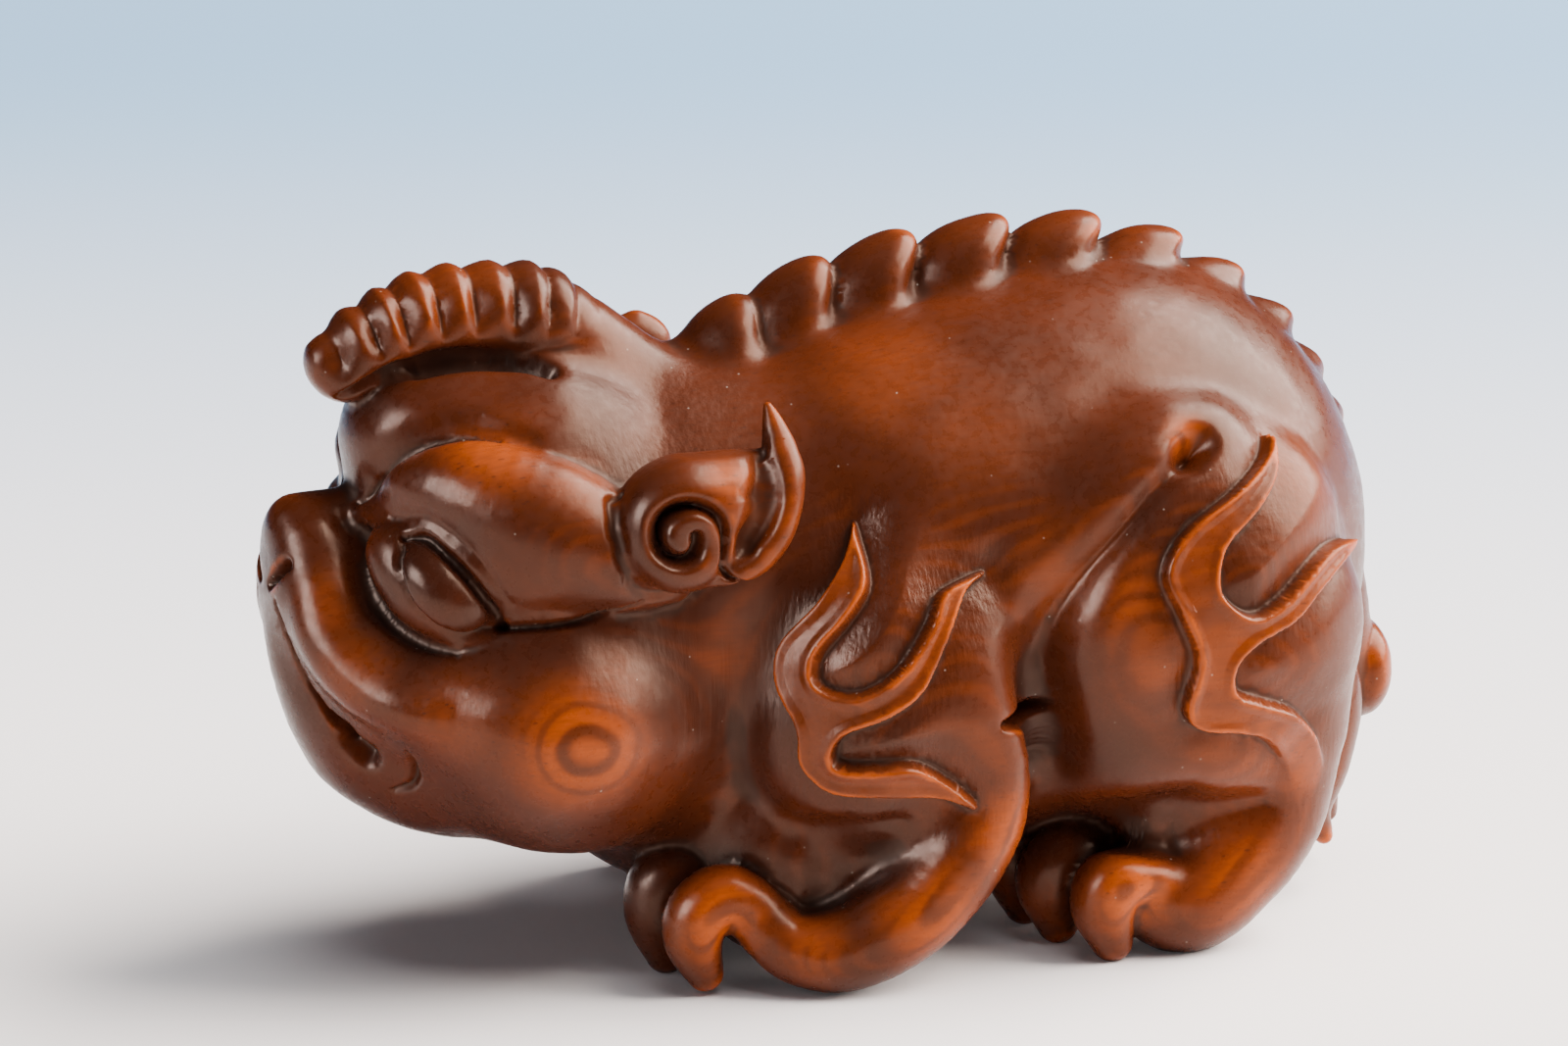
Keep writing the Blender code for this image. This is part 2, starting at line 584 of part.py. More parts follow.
def wood():
    """Stained and polished boxwood."""
    material = bpy.data.materials.new("boxwood")
    material.use_nodes = True
    shader = material.node_tree.nodes["Principled BSDF"]
    shader.inputs["Base Color"].default_value = (0.16, 0.04, 0.015, 1)
    shader.inputs["Roughness"].default_value = 0.35
    shader.inputs["Metallic"].default_value = 0
    return material


def build():
    beast = carve_beast()
    beast.modifiers.new("fewer faces", "DECIMATE").ratio = TRIANGLES / (2 * len(beast.data.polygons))
    bpy.ops.object.modifier_apply(modifier="fewer faces")
    cut_floor(beast)
    # the frame: middle of the box in X and Y
    corners = np.array(beast.bound_box)
    middle = (corners.min(0) + corners.max(0)) / 2
    beast.data.transform(Matrix.Scale(MM, 4) @ Matrix.Translation((-middle[0], -middle[1], 0)))
    cutter = cord_tunnel()
    cut = beast.modifiers.new("cord tunnel", "BOOLEAN")
    cut.operation = "DIFFERENCE"
    cut.object = cutter
    beast.data.materials.append(wood())
    return beast


if __name__ == "__main__":
    build()
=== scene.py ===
# %% [markdown]
# # A boxwood netsuke: a crouching beast
#
# A netsuke is the carved toggle on the cord of a pouch that hangs at a sash. This one is a
# crouching mythical beast, carved from one block of boxwood, stained dark and polished.
#
# The solid of the whole carving is loaded first, as a frame that nothing here moves or
# resizes. The looks are then made around it: the same carving again, with a finer surface and
# the finer cuts, its stained wood, a pale floor, soft lights and a camera.

# %% The frame
import math

import bpy
import numpy as np
from mathutils import Euler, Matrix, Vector


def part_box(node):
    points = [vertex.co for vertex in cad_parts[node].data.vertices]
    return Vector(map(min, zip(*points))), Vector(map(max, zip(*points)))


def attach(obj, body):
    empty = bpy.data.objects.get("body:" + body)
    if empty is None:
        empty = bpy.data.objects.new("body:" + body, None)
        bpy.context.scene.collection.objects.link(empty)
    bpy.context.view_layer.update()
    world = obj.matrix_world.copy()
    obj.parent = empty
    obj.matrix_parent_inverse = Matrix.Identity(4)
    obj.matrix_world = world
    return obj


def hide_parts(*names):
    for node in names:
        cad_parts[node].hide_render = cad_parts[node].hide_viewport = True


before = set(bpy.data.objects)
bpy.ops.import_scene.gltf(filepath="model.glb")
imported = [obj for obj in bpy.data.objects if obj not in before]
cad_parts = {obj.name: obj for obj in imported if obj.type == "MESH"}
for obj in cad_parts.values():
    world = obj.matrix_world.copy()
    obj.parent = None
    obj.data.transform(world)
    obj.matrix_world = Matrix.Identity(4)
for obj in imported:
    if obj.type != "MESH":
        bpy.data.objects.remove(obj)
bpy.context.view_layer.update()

NODE = "beast_netsuke"
MM = 0.001
node_low, node_high = (np.array(corner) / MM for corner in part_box(NODE))
print("the solid spans", np.round(node_high - node_low, 1), "mm")

# %% [markdown]
# ## The view
#
# The photograph looks down on the beast's own left side from about 15 degrees, and 20 degrees
# from square towards its head. Its lines hardly converge, so the lens is long and stands
# 400 mm away. The camera comes first, because every later choice is judged through it.

# %% Camera
VIEW_TURN = -20
VIEW_RISE = 15
VIEW_DISTANCE = 400
LENS = 180
FILM = 36
# what the camera aims at, in millimetres from the middle of the footprint
AIM = (-3.1, 0, 21)


def from_view(turn, rise):
    """The direction from the object to a viewer; turn 0 is square to its left side."""
    turn, rise = math.radians(turn), math.radians(rise)
    return Vector((math.sin(turn) * math.cos(rise), -math.cos(turn) * math.cos(rise), math.sin(rise)))


towards_camera = from_view(VIEW_TURN, VIEW_RISE)
bpy.ops.object.camera_add(location=(Vector(AIM) + towards_camera * VIEW_DISTANCE) * MM)
camera = bpy.context.object
camera.rotation_euler = towards_camera.to_track_quat("Z", "Y").to_euler()
camera.data.lens = LENS
camera.data.sensor_width = FILM
camera.data.clip_start = 0.01
bpy.context.scene.camera = camera
print("the camera stands at", np.round(np.array(camera.location) / MM), "mm")

# %% [markdown]
# ## Blocking in
#
# A carver first saws and rounds the block into big masses, and only then cuts lines. The same
# order works here. Every mass is a round form with a size and a place in millimetres. A mass
# is written as a function: how far any point is from its surface. Functions like these can be
# joined with a rounded seam of any width, which a plain union of meshes can't do, so they suit
# a polished carving better than primitives pushed together.


# %% Joining and bending
def smooth_union(a, b, blend):
    """Two distances as one, rounded over a width of blend where they meet."""
    if blend <= 0:
        return np.minimum(a, b)
    near = np.maximum(blend - np.abs(a - b), 0) / blend
    return np.minimum(a, b) - near * near * blend / 4


def smooth_step(value, low, high):
    """0 below low, 1 above high, and an S-curve between."""
    t = np.clip((value - low) / (high - low), 0, 1)
    return t * t * (3 - 2 * t)


def curve_through(points, steps=6):
    """A smooth line through rows of numbers, with steps points to each row."""
    rows = np.array(points, float)
    rows = np.vstack([2 * rows[0] - rows[1], rows, 2 * rows[-1] - rows[-2]])
    line = []
    for a, b, c, d in zip(rows, rows[1:], rows[2:], rows[3:]):
        for t in np.arange(steps) / steps:
            line.append(0.5 * (2 * b + (c - a) * t + (2 * a - 5 * b + 4 * c - d) * t ** 2
                               + (3 * b - a - 3 * c + d) * t ** 3))
    line.append(rows[-2])
    return np.array(line)


def to_line(places, line):
    """Distance of every place to a line of points, and how far along it is, 0 to 1."""
    best = np.full(len(places), np.inf)
    along = np.zeros(len(places))
    runs = len(line) - 1
    for i in range(runs):
        start, run = line[i], line[i + 1] - line[i]
        offset = places - start
        t = np.clip(offset @ run / max(run @ run, 1e-12), 0, 1)
        gap = ((offset - t[:, None] * run) ** 2).sum(1)
        closer = gap < best
        best[closer] = gap[closer]
        along[closer] = (i + t[closer]) / runs
    return np.sqrt(best), along


# %% Three kinds of mass
class Egg:
    """An ellipsoid of wood.

    blend is how wide it rounds into what is there already. far is how much further back
    its mirror image on the far side stands, or None for a mass on the middle line. shear,
    if given, is a swept plane that cuts its rear off with a rounded edge.
    """

    def __init__(self, centre, radii, turn=(0, 0, 0), blend=1.0, far=None, shear=None):
        self.centre, self.radii = np.array(centre, float), np.array(radii, float)
        self.blend, self.far, self.shear = blend, far, shear
        self.axes = np.array(Euler([math.radians(a) for a in turn]).to_matrix())
        self.low, self.high = self.centre - self.radii.max(), self.centre + self.radii.max()

    def distance(self, places):
        local = (places - self.centre) @ self.axes
        outer = np.sqrt(((local / self.radii) ** 2).sum(1)) + 1e-9
        inner = np.sqrt(((local / self.radii ** 2) ** 2).sum(1)) + 1e-9
        gap = outer * (outer - 1) / inner
        if self.shear:
            point, normal, sweep, edge = self.shear
            behind = (places - point) @ np.array(normal) + sweep * (np.hypot(places[:, 1], 0.6) - 0.6)
            gap = -smooth_union(-gap, -behind, edge)
        return gap

    def beads(self):
        yield self.centre, self.radii, self.axes


class Limb:
    """A round limb along a curve, its rows x, y, z and radius."""

    def __init__(self, rows, blend=0.6, far=None):
        self.line = curve_through(rows, 5)
        self.blend, self.far = blend, far
        self.low = (self.line[:, :3] - self.line[:, 3:]).min(0)
        self.high = (self.line[:, :3] + self.line[:, 3:]).max(0)

    def distance(self, places):
        best = np.full(len(places), np.inf)
        for a, b in zip(self.line, self.line[1:]):
            run = b[:3] - a[:3]
            offset = places - a[:3]
            t = np.clip(offset @ run / max(run @ run, 1e-12), 0, 1)
            gap = np.sqrt(((offset - t[:, None] * run) ** 2).sum(1)) - (a[3] + t * (b[3] - a[3]))
            best = np.minimum(best, gap)
        return best

    def beads(self):
        for row in self.line:
            yield row[:3], np.full(3, row[3]), np.eye(3)


class Button:
    """A round, flat-faced button with a rounded edge, facing along an axis."""

    def __init__(self, centre, axis, radius, half_height, edge, blend=0.3, far=None):
        self.centre, self.axis = np.array(centre, float), np.array(Vector(axis).normalized())
        self.radius, self.half_height, self.edge = radius, half_height, edge
        self.blend, self.far = blend, far
        self.low, self.high = self.centre - radius, self.centre + radius

    def distance(self, places):
        offset = places - self.centre
        height = offset @ self.axis
        out = np.sqrt(np.maximum((offset ** 2).sum(1) - height ** 2, 0)) - (self.radius - self.edge)
        up = np.abs(height) - (self.half_height - self.edge)
        outer = np.hypot(np.maximum(out, 0), np.maximum(up, 0))
        return outer + np.minimum(np.maximum(out, up), 0) - self.edge

    def beads(self):
        yield self.centre, np.full(3, min(self.radius, self.half_height)), np.eye(3)


class Cluster:
    """Masses that meet each other with their own blends, and the rest with a wider one."""

    def __init__(self, masses, blend):
        self.masses, self.blend, self.far = masses, blend, None
        self.low = np.min([mass.low for mass in masses], axis=0)
        self.high = np.max([mass.high for mass in masses], axis=0)

    def distance(self, places):
        total = self.masses[0].distance(places)
        for mass in self.masses[1:]:
            total = smooth_union(total, mass.distance(places), mass.blend)
        return total

    def beads(self):
        for mass in self.masses:
            yield from mass.beads()


# %% [markdown]
# ## Body and head
#
# The trunk is three big eggs, with smaller ones under it for the chest. The head is a wedge
# with full, round cheeks. A roll of lip runs from the nose back under the eye, with a narrow
# ridge along it, and fades into the cheek.

# %% Trunk and head
TRUNK = [
    Egg((4, 0, 18), (16, 13.6, 14.6), blend=0),
    Egg((14.0, 0, 18.6), (15.0, 13.4, 15.4), blend=4),
    Egg((-8, 0, 19.0), (9, 10.2, 11.4), blend=3),
    Egg((-4, 0, 9), (12, 9, 6.5), blend=3),
    Egg((-2, 0, 6.5), (10, 11, 4.2), blend=2),
    Egg((-1.6, -7.4, 6.2), (7.0, 4.0, 4.8), blend=2.0, far=0.6),
]
HEAD = [
    Egg((-15.6, 0, 20.0), (9.6, 9.8, 10.6), blend=1.5),
    Egg((-16.6, 0, 25.2), (8.4, 8.2, 6.6), blend=0.8),
    Egg((-20.8, 0, 27.2), (4.9, 5.2, 4.7), blend=1.0),
    Egg((-19.2, 0, 14.0), (8.8, 7.7, 7.6), blend=2),
    Egg((-15.8, -6.4, 13.7), (7.4, 5.6, 6.8), blend=2.8, far=0),
    # the round cheek, which stands out to catch the light above it
    Egg((-17.3, -8.1, 14.1), (5.1, 5.1, 5.0), blend=1.3, far=0.4),
    Limb([(-26.2, 0, 21.5, 2.6), (-27.1, 0, 19.5, 2.7), (-26.5, 0, 16.4, 3.1), (-24.2, 0, 13.5, 3.9)],
         blend=2.0),
    Limb([(-27.9, -0.9, 22.6, 1.7), (-27.3, -2.0, 20.2, 2.3), (-26.2, -3.7, 17.7, 2.6),
          (-23.7, -6.0, 15.9, 2.9), (-20.3, -8.0, 14.9, 3.4)], blend=1.4, far=0),
    Limb([(-28.1, -3.0, 20.6, 0.7), (-28.1, -3.4, 19.4, 1.1), (-27.9, -4.0, 18.5, 1.25),
          (-27.3, -5.0, 17.3, 1.25), (-26.4, -6.2, 16.2, 1.2), (-25.2, -7.7, 15.6, 1.1),
          (-24.0, -8.7, 15.3, 0.9)], blend=0.9, far=0.4),
    Limb([(-28.2, 0, 23.4, 1.45), (-25.6, 0, 23.5, 1.45)], blend=0.5),
]
BROW = [
    Limb([(-24.1, -2.6, 25.0, 0.7), (-22.8, -4.2, 25.9, 2.0), (-20.4, -6.2, 25.4, 3.1),
          (-17.4, -7.8, 23.9, 3.6), (-14.4, -9.1, 22.6, 2.7), (-11.9, -9.9, 21.5, 1.2)],
         blend=0.25, far=0),
    Limb([(-25.2, -2.2, 24.1, 0.5), (-24.3, -4.0, 24.0, 0.9), (-22.9, -5.8, 23.9, 1.3),
          (-21.3, -7.2, 22.9, 1.8), (-19.4, -7.9, 22.2, 2.2), (-17.2, -8.4, 21.9, 2.1),
          (-14.8, -9.2, 21.8, 1.4)], blend=1.0, far=0.6),
]
EYE = [
    Egg((-22.5, -5.8, 20.9), (4.5, 2.8, 2.7), turn=(0, 42, -28), blend=0.4, far=0.9),
    Egg((-22.7, -7.0, 21.3), (3.0, 2.5, 2.0), turn=(0, 45, -28), blend=0.08, far=0.8),
]
CREST = [
    Limb([(-25.5, 0, 31.5, 2.1), (-23.8, 0, 32.5, 2.3), (-21.5, 0, 33.3, 2.5), (-18.5, 0, 33.5, 2.5),
          (-16.0, 0, 33.0, 2.5)], blend=0.2),
    Limb([(-16.0, 0, 32.9, 2.4), (-13.4, 0, 31.3, 2.5), (-10.8, 0, 29.0, 2.7), (-8.0, 0, 26.2, 3.0)],
         blend=1.6),
]

# %% [markdown]
# ## Ears
#
# Each ear is one curled leaf. Its lower end rolls up into a round scroll, and its rear edge
# sweeps up into a horn-like tip. So it is a button, a short roll behind it, and a crescent.

# %% Ears
EAR = [
    Button((-11.6, -10.6, 24.4), (0.05, -1, 0.06), 3.4, 2.3, 1.9, blend=0.3, far=0),
    Limb([(-11.2, -10.5, 25.4, 2.55), (-9.2, -10.5, 25.5, 2.45), (-7.4, -10.2, 25.6, 2.2)],
         blend=0.4, far=0),
    Limb([(-11.6, -11.6, 21.5, 0.4), (-9.9, -12.1, 21.9, 0.6), (-8.5, -12.3, 22.6, 0.85),
          (-7.4, -12.2, 23.8, 1.0), (-6.8, -11.9, 25.2, 1.1), (-6.5, -11.4, 26.6, 1.1),
          (-6.5, -10.9, 27.8, 0.9), (-6.6, -10.4, 28.9, 0.6), (-6.8, -10.0, 29.9, 0.25)],
         blend=0.25, far=0),
    # the far ear's horn is the fuller one
    Egg((-6.9, 10.0, 28.3), (2.0, 1.2, 1.9), blend=0.5),
]

# %% [markdown]
# ## Legs, toes and tail
#
# The beast crouches on folded legs. A limb is a curve with a radius at every point, which is
# how a carver thinks of it too: thick at the elbow, thin at the wrist. The paw on the far side
# stands further back, because it doesn't show under the chin.

# %% Legs, toes and tail
PAW_BACK = 3.6


def foreleg(side, back):
    """From the elbow down to the wrist; back moves the paw end only."""
    rows = [(1.4, 10.6, 18.5, 3.4), (3.3, 11.9, 12.6, 3.5), (2.9, 12.3, 8.5, 3.1),
            (0.7, 12.8, 4.9, 2.6), (-1.9, 12.9, 2.9, 2.3), (-4.2, 12.6, 2.1, 2.05),
            (-6.1, 12.0, 2.35, 1.75), (-7.2, 11.5, 3.2, 1.6)]
    share = (0, 0, 0.1, 0.4, 0.7, 1, 1, 1)
    return Limb([(x + back * part, side * y, z, r) for (x, y, z, r), part in zip(rows, share)], blend=1.5)


def toe(reach, side, root_side, back=0, lift=0):
    """A toe that rises over its knuckle and curls its claw down to the floor."""
    return Limb([(reach + 4.5, side + root_side, 2.6, 1.8),
                 (reach + 1.9, side + root_side / 2, 4.1 + lift, 1.7),
                 (reach + 0.1, side, 4.2 + lift, 1.85), (reach - 0.6, side, 2.9 + lift / 2, 1.7),
                 (reach - 0.1, side, 1.0, 1.1)], blend=0.2, far=back)


LEGS = [
    Egg((-0.8, -9.8, 15.0), (7.0, 5.8, 8.8), turn=(0, 8, 0), blend=1.2, far=0),
    foreleg(-1, 0),
    foreleg(1, PAW_BACK),
    Egg((15.0, -9.6, 17.2), (10.3, 6.9, 11.8), turn=(0, -12, 0), blend=0.8, far=0),
    Limb([(20.4, -9.4, 10.0, 4.0), (19.7, -10.6, 6.6, 3.4), (17.6, -11.4, 4.1, 3.0),
          (15.2, -11.6, 2.55, 2.85), (12.9, -11.4, 3.3, 2.3)], blend=2.0, far=0),
]
TAIL = [
    Limb([(26.6, 0, 20.0, 1.8), (27.5, 0, 15.5, 2.4), (27.6, 0, 11.0, 2.8), (27.2, 0, 7.0, 2.3),
          (27.3, 0, 4.6, 1.6), (28.2, 0, 2.5, 0.6)], blend=0.8),
    Limb([(26.8, -1.4, 12.8, 1.8), (26.2, -3.2, 9.6, 2.3), (25.3, -4.3, 6.8, 2.1), (25.0, -4.5, 4.5, 1.4),
          (25.9, -4.9, 2.8, 0.5)], blend=0.3, far=0),
    Egg((29.9, 0, 10.3), (1.6, 2.5, 2.7), blend=0.25),
]
TOES = [Limb([(-7.2 + back, side * 11.2, 3.3, 1.6), (-8.3 + back, side * 10.9, 4.5, 1.6),
              (-9.5 + back, side * 10.7, 5.0, 1.7), (-10.7 + back, side * 10.6, 4.2, 1.7),
              (-11.0 + back, side * 10.6, 2.8, 1.45), (-10.4 + back, side * 10.6, 1.1, 0.95)], blend=0.2)
        for side, back in ((-1, 0), (1, PAW_BACK))]
TOES += [toe(-10.9, -6.5, 0, PAW_BACK, 0.8), toe(-9.6, -3.3, 0, PAW_BACK, 0.8)]
TOES += [toe(11.0, -12.4, 0.4), toe(9.5, -8.7, 0.4, 0, 0.4), toe(9.1, -5.2, 0.4, 0, 0.4)]

# %% [markdown]
# ## Scales down the back
#
# Each scale is like half an egg. It swells out of the back, and its rear end is cut off by a
# slanting plane with a rounded edge, so that it overhangs the start of the next one.

# %% Back scales
# where each rear edge stands (x, z), and the scale's length and height
SCALES = [(-3.5, 33.5, 4.0, 3.6), (0.5, 35.1, 4.9, 3.3), (5.2, 36.0, 5.1, 3.4), (10.3, 36.3, 5.3, 3.5),
          (15.4, 35.8, 5.3, 3.5), (19.8, 34.2, 4.8, 3.1), (23.0, 31.8, 4.2, 2.7), (25.5, 29.2, 3.6, 2.4),
          (27.0, 26.5, 3.0, 1.9), (28.0, 23.9, 2.5, 1.6), (28.4, 21.5, 2.0, 1.3)]
SCALE_LIFT = 4
SHEAR_LEAN = 28
SHEAR_SWEEP = 0.36


def back_scale(i):
    x, z, length, height = SCALES[i]
    ahead, behind = SCALES[max(i - 1, 0)], SCALES[min(i + 1, len(SCALES) - 1)]
    slope = math.degrees(math.atan2(ahead[1] - behind[1], behind[0] - ahead[0]))
    tilt = math.radians(slope - SCALE_LIFT)
    reach = 0.21 * length
    centre = (x - reach * math.cos(tilt), 0, z - 0.97 * height + reach * math.sin(tilt))
    lean = math.radians(slope + SHEAR_LEAN)
    shear = ((x, 0, z - 0.3), (math.cos(lean), 0, -math.sin(lean)), SHEAR_SWEEP, 1.7)
    return Egg(centre, (length, 0.84 * height, height), turn=(0, math.degrees(tilt), 0),
               blend=0.15, shear=shear)


MASSES = TRUNK + HEAD + BROW + EYE + CREST + EAR + LEGS + TAIL + TOES
MASSES += [Cluster([back_scale(i) for i in range(len(SCALES))], blend=1.0)]
print(len(MASSES), "masses")

# %% [markdown]
# ## From masses to one skin
#
# Blender's voxel remesh turns a heap of overlapping balls into one closed skin. That skin is
# lumpy, so every vertex then slides along its normal until the distance function says zero.
# Doing this at a coarse grain first, and then at finer ones, keeps every step short.

# %% Distance to the uncarved beast
MIRROR = np.array([1.0, -1.0, 1.0])


def copies(mass):
    """The flip and the shift of each copy of a mass: as placed, then on the far side."""
    yield np.ones(3), np.zeros(3)
    if mass.far is not None:
        yield MIRROR, np.array([mass.far, 0, 0])


def uncarved(places, reach=1.5):
    """Distance of every place above the uncarved surface, true within reach of it."""
    total = np.full(len(places), 1e3)
    for mass in MASSES:
        margin = reach + mass.blend
        for flip, back in copies(mass):
            seen = (places - back) * flip
            near = ((seen > mass.low - margin) & (seen < mass.high + margin)).all(1)
            if near.any():
                total[near] = smooth_union(total[near], mass.distance(seen[near]), mass.blend)
    return total


# %% The rough block
def block_in(name):
    """Every mass as a ball, or as a string of balls, joined into one rough object."""
    bpy.ops.object.select_all(action="DESELECT")
    bpy.ops.mesh.primitive_ico_sphere_add(subdivisions=3, radius=1)
    beast = bpy.context.object
    beast.name = beast.data.name = name
    points = np.array([vertex.co for vertex in beast.data.vertices])
    faces = np.array([face.vertices[:] for face in beast.data.polygons])
    all_points, all_faces, count = [], [], 0
    for mass in MASSES:
        for centre, radii, axes in mass.beads():
            for flip, back in copies(mass):
                all_points.append(((points * radii) @ axes.T + centre) * flip + back)
                all_faces.append((faces if flip[1] > 0 else faces[:, ::-1]) + count)
                count += len(points)
    beast.data.clear_geometry()
    beast.data.from_pydata(np.vstack(all_points), [], np.vstack(all_faces).tolist())
    return beast


def numbers(collection, name, width):
    flat = np.empty(len(collection) * width, np.float32)
    collection.foreach_get(name, flat)
    return flat.reshape(-1, width).astype(float)


def put_places(mesh, places):
    mesh.vertices.foreach_set("co", places.astype(np.float32).ravel())
    mesh.update()


def relaxed(values, edges, share):
    """Each vertex's value moved part of the way to the mean of its neighbours."""
    total, count = np.zeros_like(values), np.zeros(len(values))
    for a, b in ((0, 1), (1, 0)):
        for k in range(values.shape[1]):
            total[:, k] += np.bincount(edges[:, a], weights=values[edges[:, b], k], minlength=len(values))
        count += np.bincount(edges[:, a], minlength=len(values))
    return values + share * (total / np.maximum(count, 1)[:, None] - values)


def settle(beast, rounds):
    """The skin moves onto the uncarved surface, easing its own spacing between moves."""
    edges = numbers(beast.data.edges, "vertices", 2).astype(int)
    for turn in range(rounds):
        places = numbers(beast.data.vertices, "co", 3)
        move = np.clip(uncarved(places), -0.6, 0.6)
        places -= numbers(beast.data.vertex_normals, "vector", 3) * move[:, None]
        if turn < rounds - 1:
            places = relaxed(places, edges, 0.3)
        put_places(beast.data, places)


# %% Settle the skin, coarse to fine
# voxel in millimetres, and rounds of settling at it
GRAINS = [(0.6, 5), (0.34, 3), (0.24, 3)]

beast = block_in("carved_beast")
for voxel, rounds in GRAINS:
    beast.data.remesh_voxel_size = voxel
    beast.data.remesh_voxel_adaptivity = 0
    bpy.ops.object.voxel_remesh()
    settle(beast, rounds)
print("settled skin:", len(beast.data.vertices), "vertices")

# %% [markdown]
# ## The knife
#
# A line is cut with a knife that goes in deepest along the line and fades to both sides. The
# line is given by a few points near the surface, which are dropped onto it first. A number for
# each end lets it swell or taper, as a cut by hand does.


# %% Cut lines
def land(points):
    """Points dropped onto the uncarved surface along its own slope."""
    places, step, reach = np.array(points, float), 0.05, 6
    for _ in range(8):
        here = uncarved(places, reach)
        slope = np.stack([uncarved(places + step * axis, reach) - here for axis in np.eye(3)], 1) / step
        places = places - slope * (np.clip(here, -1, 1) / np.maximum((slope ** 2).sum(1), 0.2))[:, None]
    return places


class Cut:
    """A groove along points that lie on the surface; ends and middle scale its size."""

    def __init__(self, points, width, depth, ends=(1.0, 1.0), middle=1.0):
        self.line = land(curve_through(points))
        self.width, self.depth, self.ends, self.middle = width, depth, ends, middle
        self.low, self.high = self.line.min(0) - 3 * width, self.line.max(0) + 3 * width

    def carve(self, places):
        out = np.zeros(len(places))
        near = ((places > self.low) & (places < self.high)).all(1)
        if near.any():
            gap, along = to_line(places[near], self.line)
            size = np.interp(along, (0, 0.5, 1), (self.ends[0], self.middle, self.ends[1]))
            width = self.width * np.maximum(size, 0.3)
            out[near] = self.depth * size * np.exp(-(gap / width) ** 2)
        return out


# %% [markdown]
# ## The face
#
# A deep crevice sets the eye back from the muzzle. Finer lines part the eyeball from its lids.
# The mouth is a thin line under the nostril, which opens into a rough little pit at its corner,
# and a curl of the lip goes round that corner.

# %% Cuts of the face
FACE = [
    # mouth, faint under the nose, and the pit at its corner
    Cut([(-29.6, -1.5, 19.9), (-29.4, -2.1, 18.6), (-28.9, -2.5, 17.3), (-28.3, -2.7, 15.9),
         (-27.8, -3.0, 14.9), (-27.1, -3.3, 13.9), (-26.5, -3.6, 13.1)], 0.16, 0.6, ends=(0.4, 1.1)),
    Cut([(-27.8, -3.0, 14.9), (-26.8, -3.3, 13.9), (-26.2, -3.5, 13.1), (-25.6, -4.1, 12.4)],
        0.5, 0.9, ends=(0.1, 1.1)),
    # round the curl of the lip
    Cut([(-24.4, -7.0, 13.7), (-23.9, -6.4, 12.6), (-23.9, -5.6, 11.2), (-24.7, -4.7, 10.5)],
        0.3, 0.55, ends=(0.2, 0.5)),
    # nostril
    Cut([(-29.2, -2.1, 21.8), (-29.6, -1.5, 21.2), (-29.9, -0.8, 20.6)], 0.28, 1.0, ends=(1.0, 0.7)),
    # the crevice between muzzle and lids
    Cut([(-25.6, -2.0, 23.8), (-25.7, -3.4, 22.8), (-25.7, -4.6, 21.2), (-25.1, -5.6, 19.7),
         (-23.9, -6.9, 18.5), (-22.4, -8.3, 18.0)], 0.7, 0.35, ends=(0.9, 0.3)),
    # round the eyeball: below it, and above it under the brow, which has a thin soft hem
    Cut([(-24.5, -6.3, 23.7), (-24.9, -7.2, 22.6), (-24.6, -7.7, 21.4), (-23.7, -8.3, 20.1),
         (-22.2, -8.7, 19.4), (-20.7, -9.2, 19.6)], 0.32, 0.45, ends=(0.6, 0.7)),
    Cut([(-24.6, -6.2, 23.9), (-23.5, -7.2, 23.9), (-22.3, -8.2, 22.8), (-21.3, -9.0, 21.2),
         (-20.4, -9.0, 19.7)], 0.24, 0.5, ends=(0.6, 0.9)),
    Cut([(-24.8, -5.1, 24.5), (-23.7, -7.0, 25.0), (-22.6, -8.3, 24.3), (-21.5, -9.5, 23.0),
         (-20.1, -9.8, 20.8)], 0.45, 0.2, ends=(0.9, 0.3)),
    # from the eye's corner to the ear
    Cut([(-20.4, -8.8, 19.5), (-18.4, -9.6, 19.6), (-16.7, -10.1, 19.9), (-15.1, -10.5, 20.4),
         (-13.8, -10.9, 21.0)], 0.17, 0.5, ends=(1, 0.5)),
    # under the crest
    Cut([(-26.2, -1.2, 30.0), (-25.4, -1.8, 30.4), (-24.0, -1.9, 31.0), (-22.7, -2.1, 31.3),
         (-20.8, -2.2, 31.5), (-19.0, -2.4, 31.5), (-17.3, -2.9, 31.2), (-16.1, -3.6, 30.8)],
        0.5, 1.0, ends=(0.4, 0.9)),
    # over the brow, narrow at its foot in a soft valley
    Cut([(-25.4, -1.8, 24.5), (-25.0, -2.5, 25.5), (-24.4, -3.6, 26.7), (-23.8, -4.2, 27.5),
         (-22.6, -4.8, 28.1), (-21.2, -5.4, 28.4), (-19.5, -6.4, 28.3)], 0.2, 0.35, ends=(0.9, 0.4)),
    Cut([(-25.0, -2.4, 26.0), (-23.2, -4.4, 28.3), (-20.9, -5.4, 29.0), (-18.2, -7.0, 28.4)],
        0.9, 0.35, ends=(0.8, 0.6)),
]

# %% [markdown]
# ## The scroll of the ear
#
# The groove starts under the horn, goes round the button and winds in to its middle. Angle and
# radius are easier to read here than places, so the points are worked out from those.

# %% Cuts of the ear
SCROLL_MIDDLE = (-11.9, -13.0, 24.2)
SCROLL = [(-40, 2.3), (-15, 1.96), (20, 1.82), (60, 1.8), (112, 1.84), (148, 1.86), (180, 1.7), (216, 1.36),
          (264, 1.0), (315, 0.6), (374, 0.4)]


def scroll_points(first, last, count):
    x, y, z = SCROLL_MIDDLE
    points = []
    for angle in np.linspace(first, last, count):
        radius = np.interp(angle, *zip(*SCROLL))
        turn = math.radians(angle)
        points.append((x + radius * math.cos(turn), y, z + radius * math.sin(turn)))
    return points


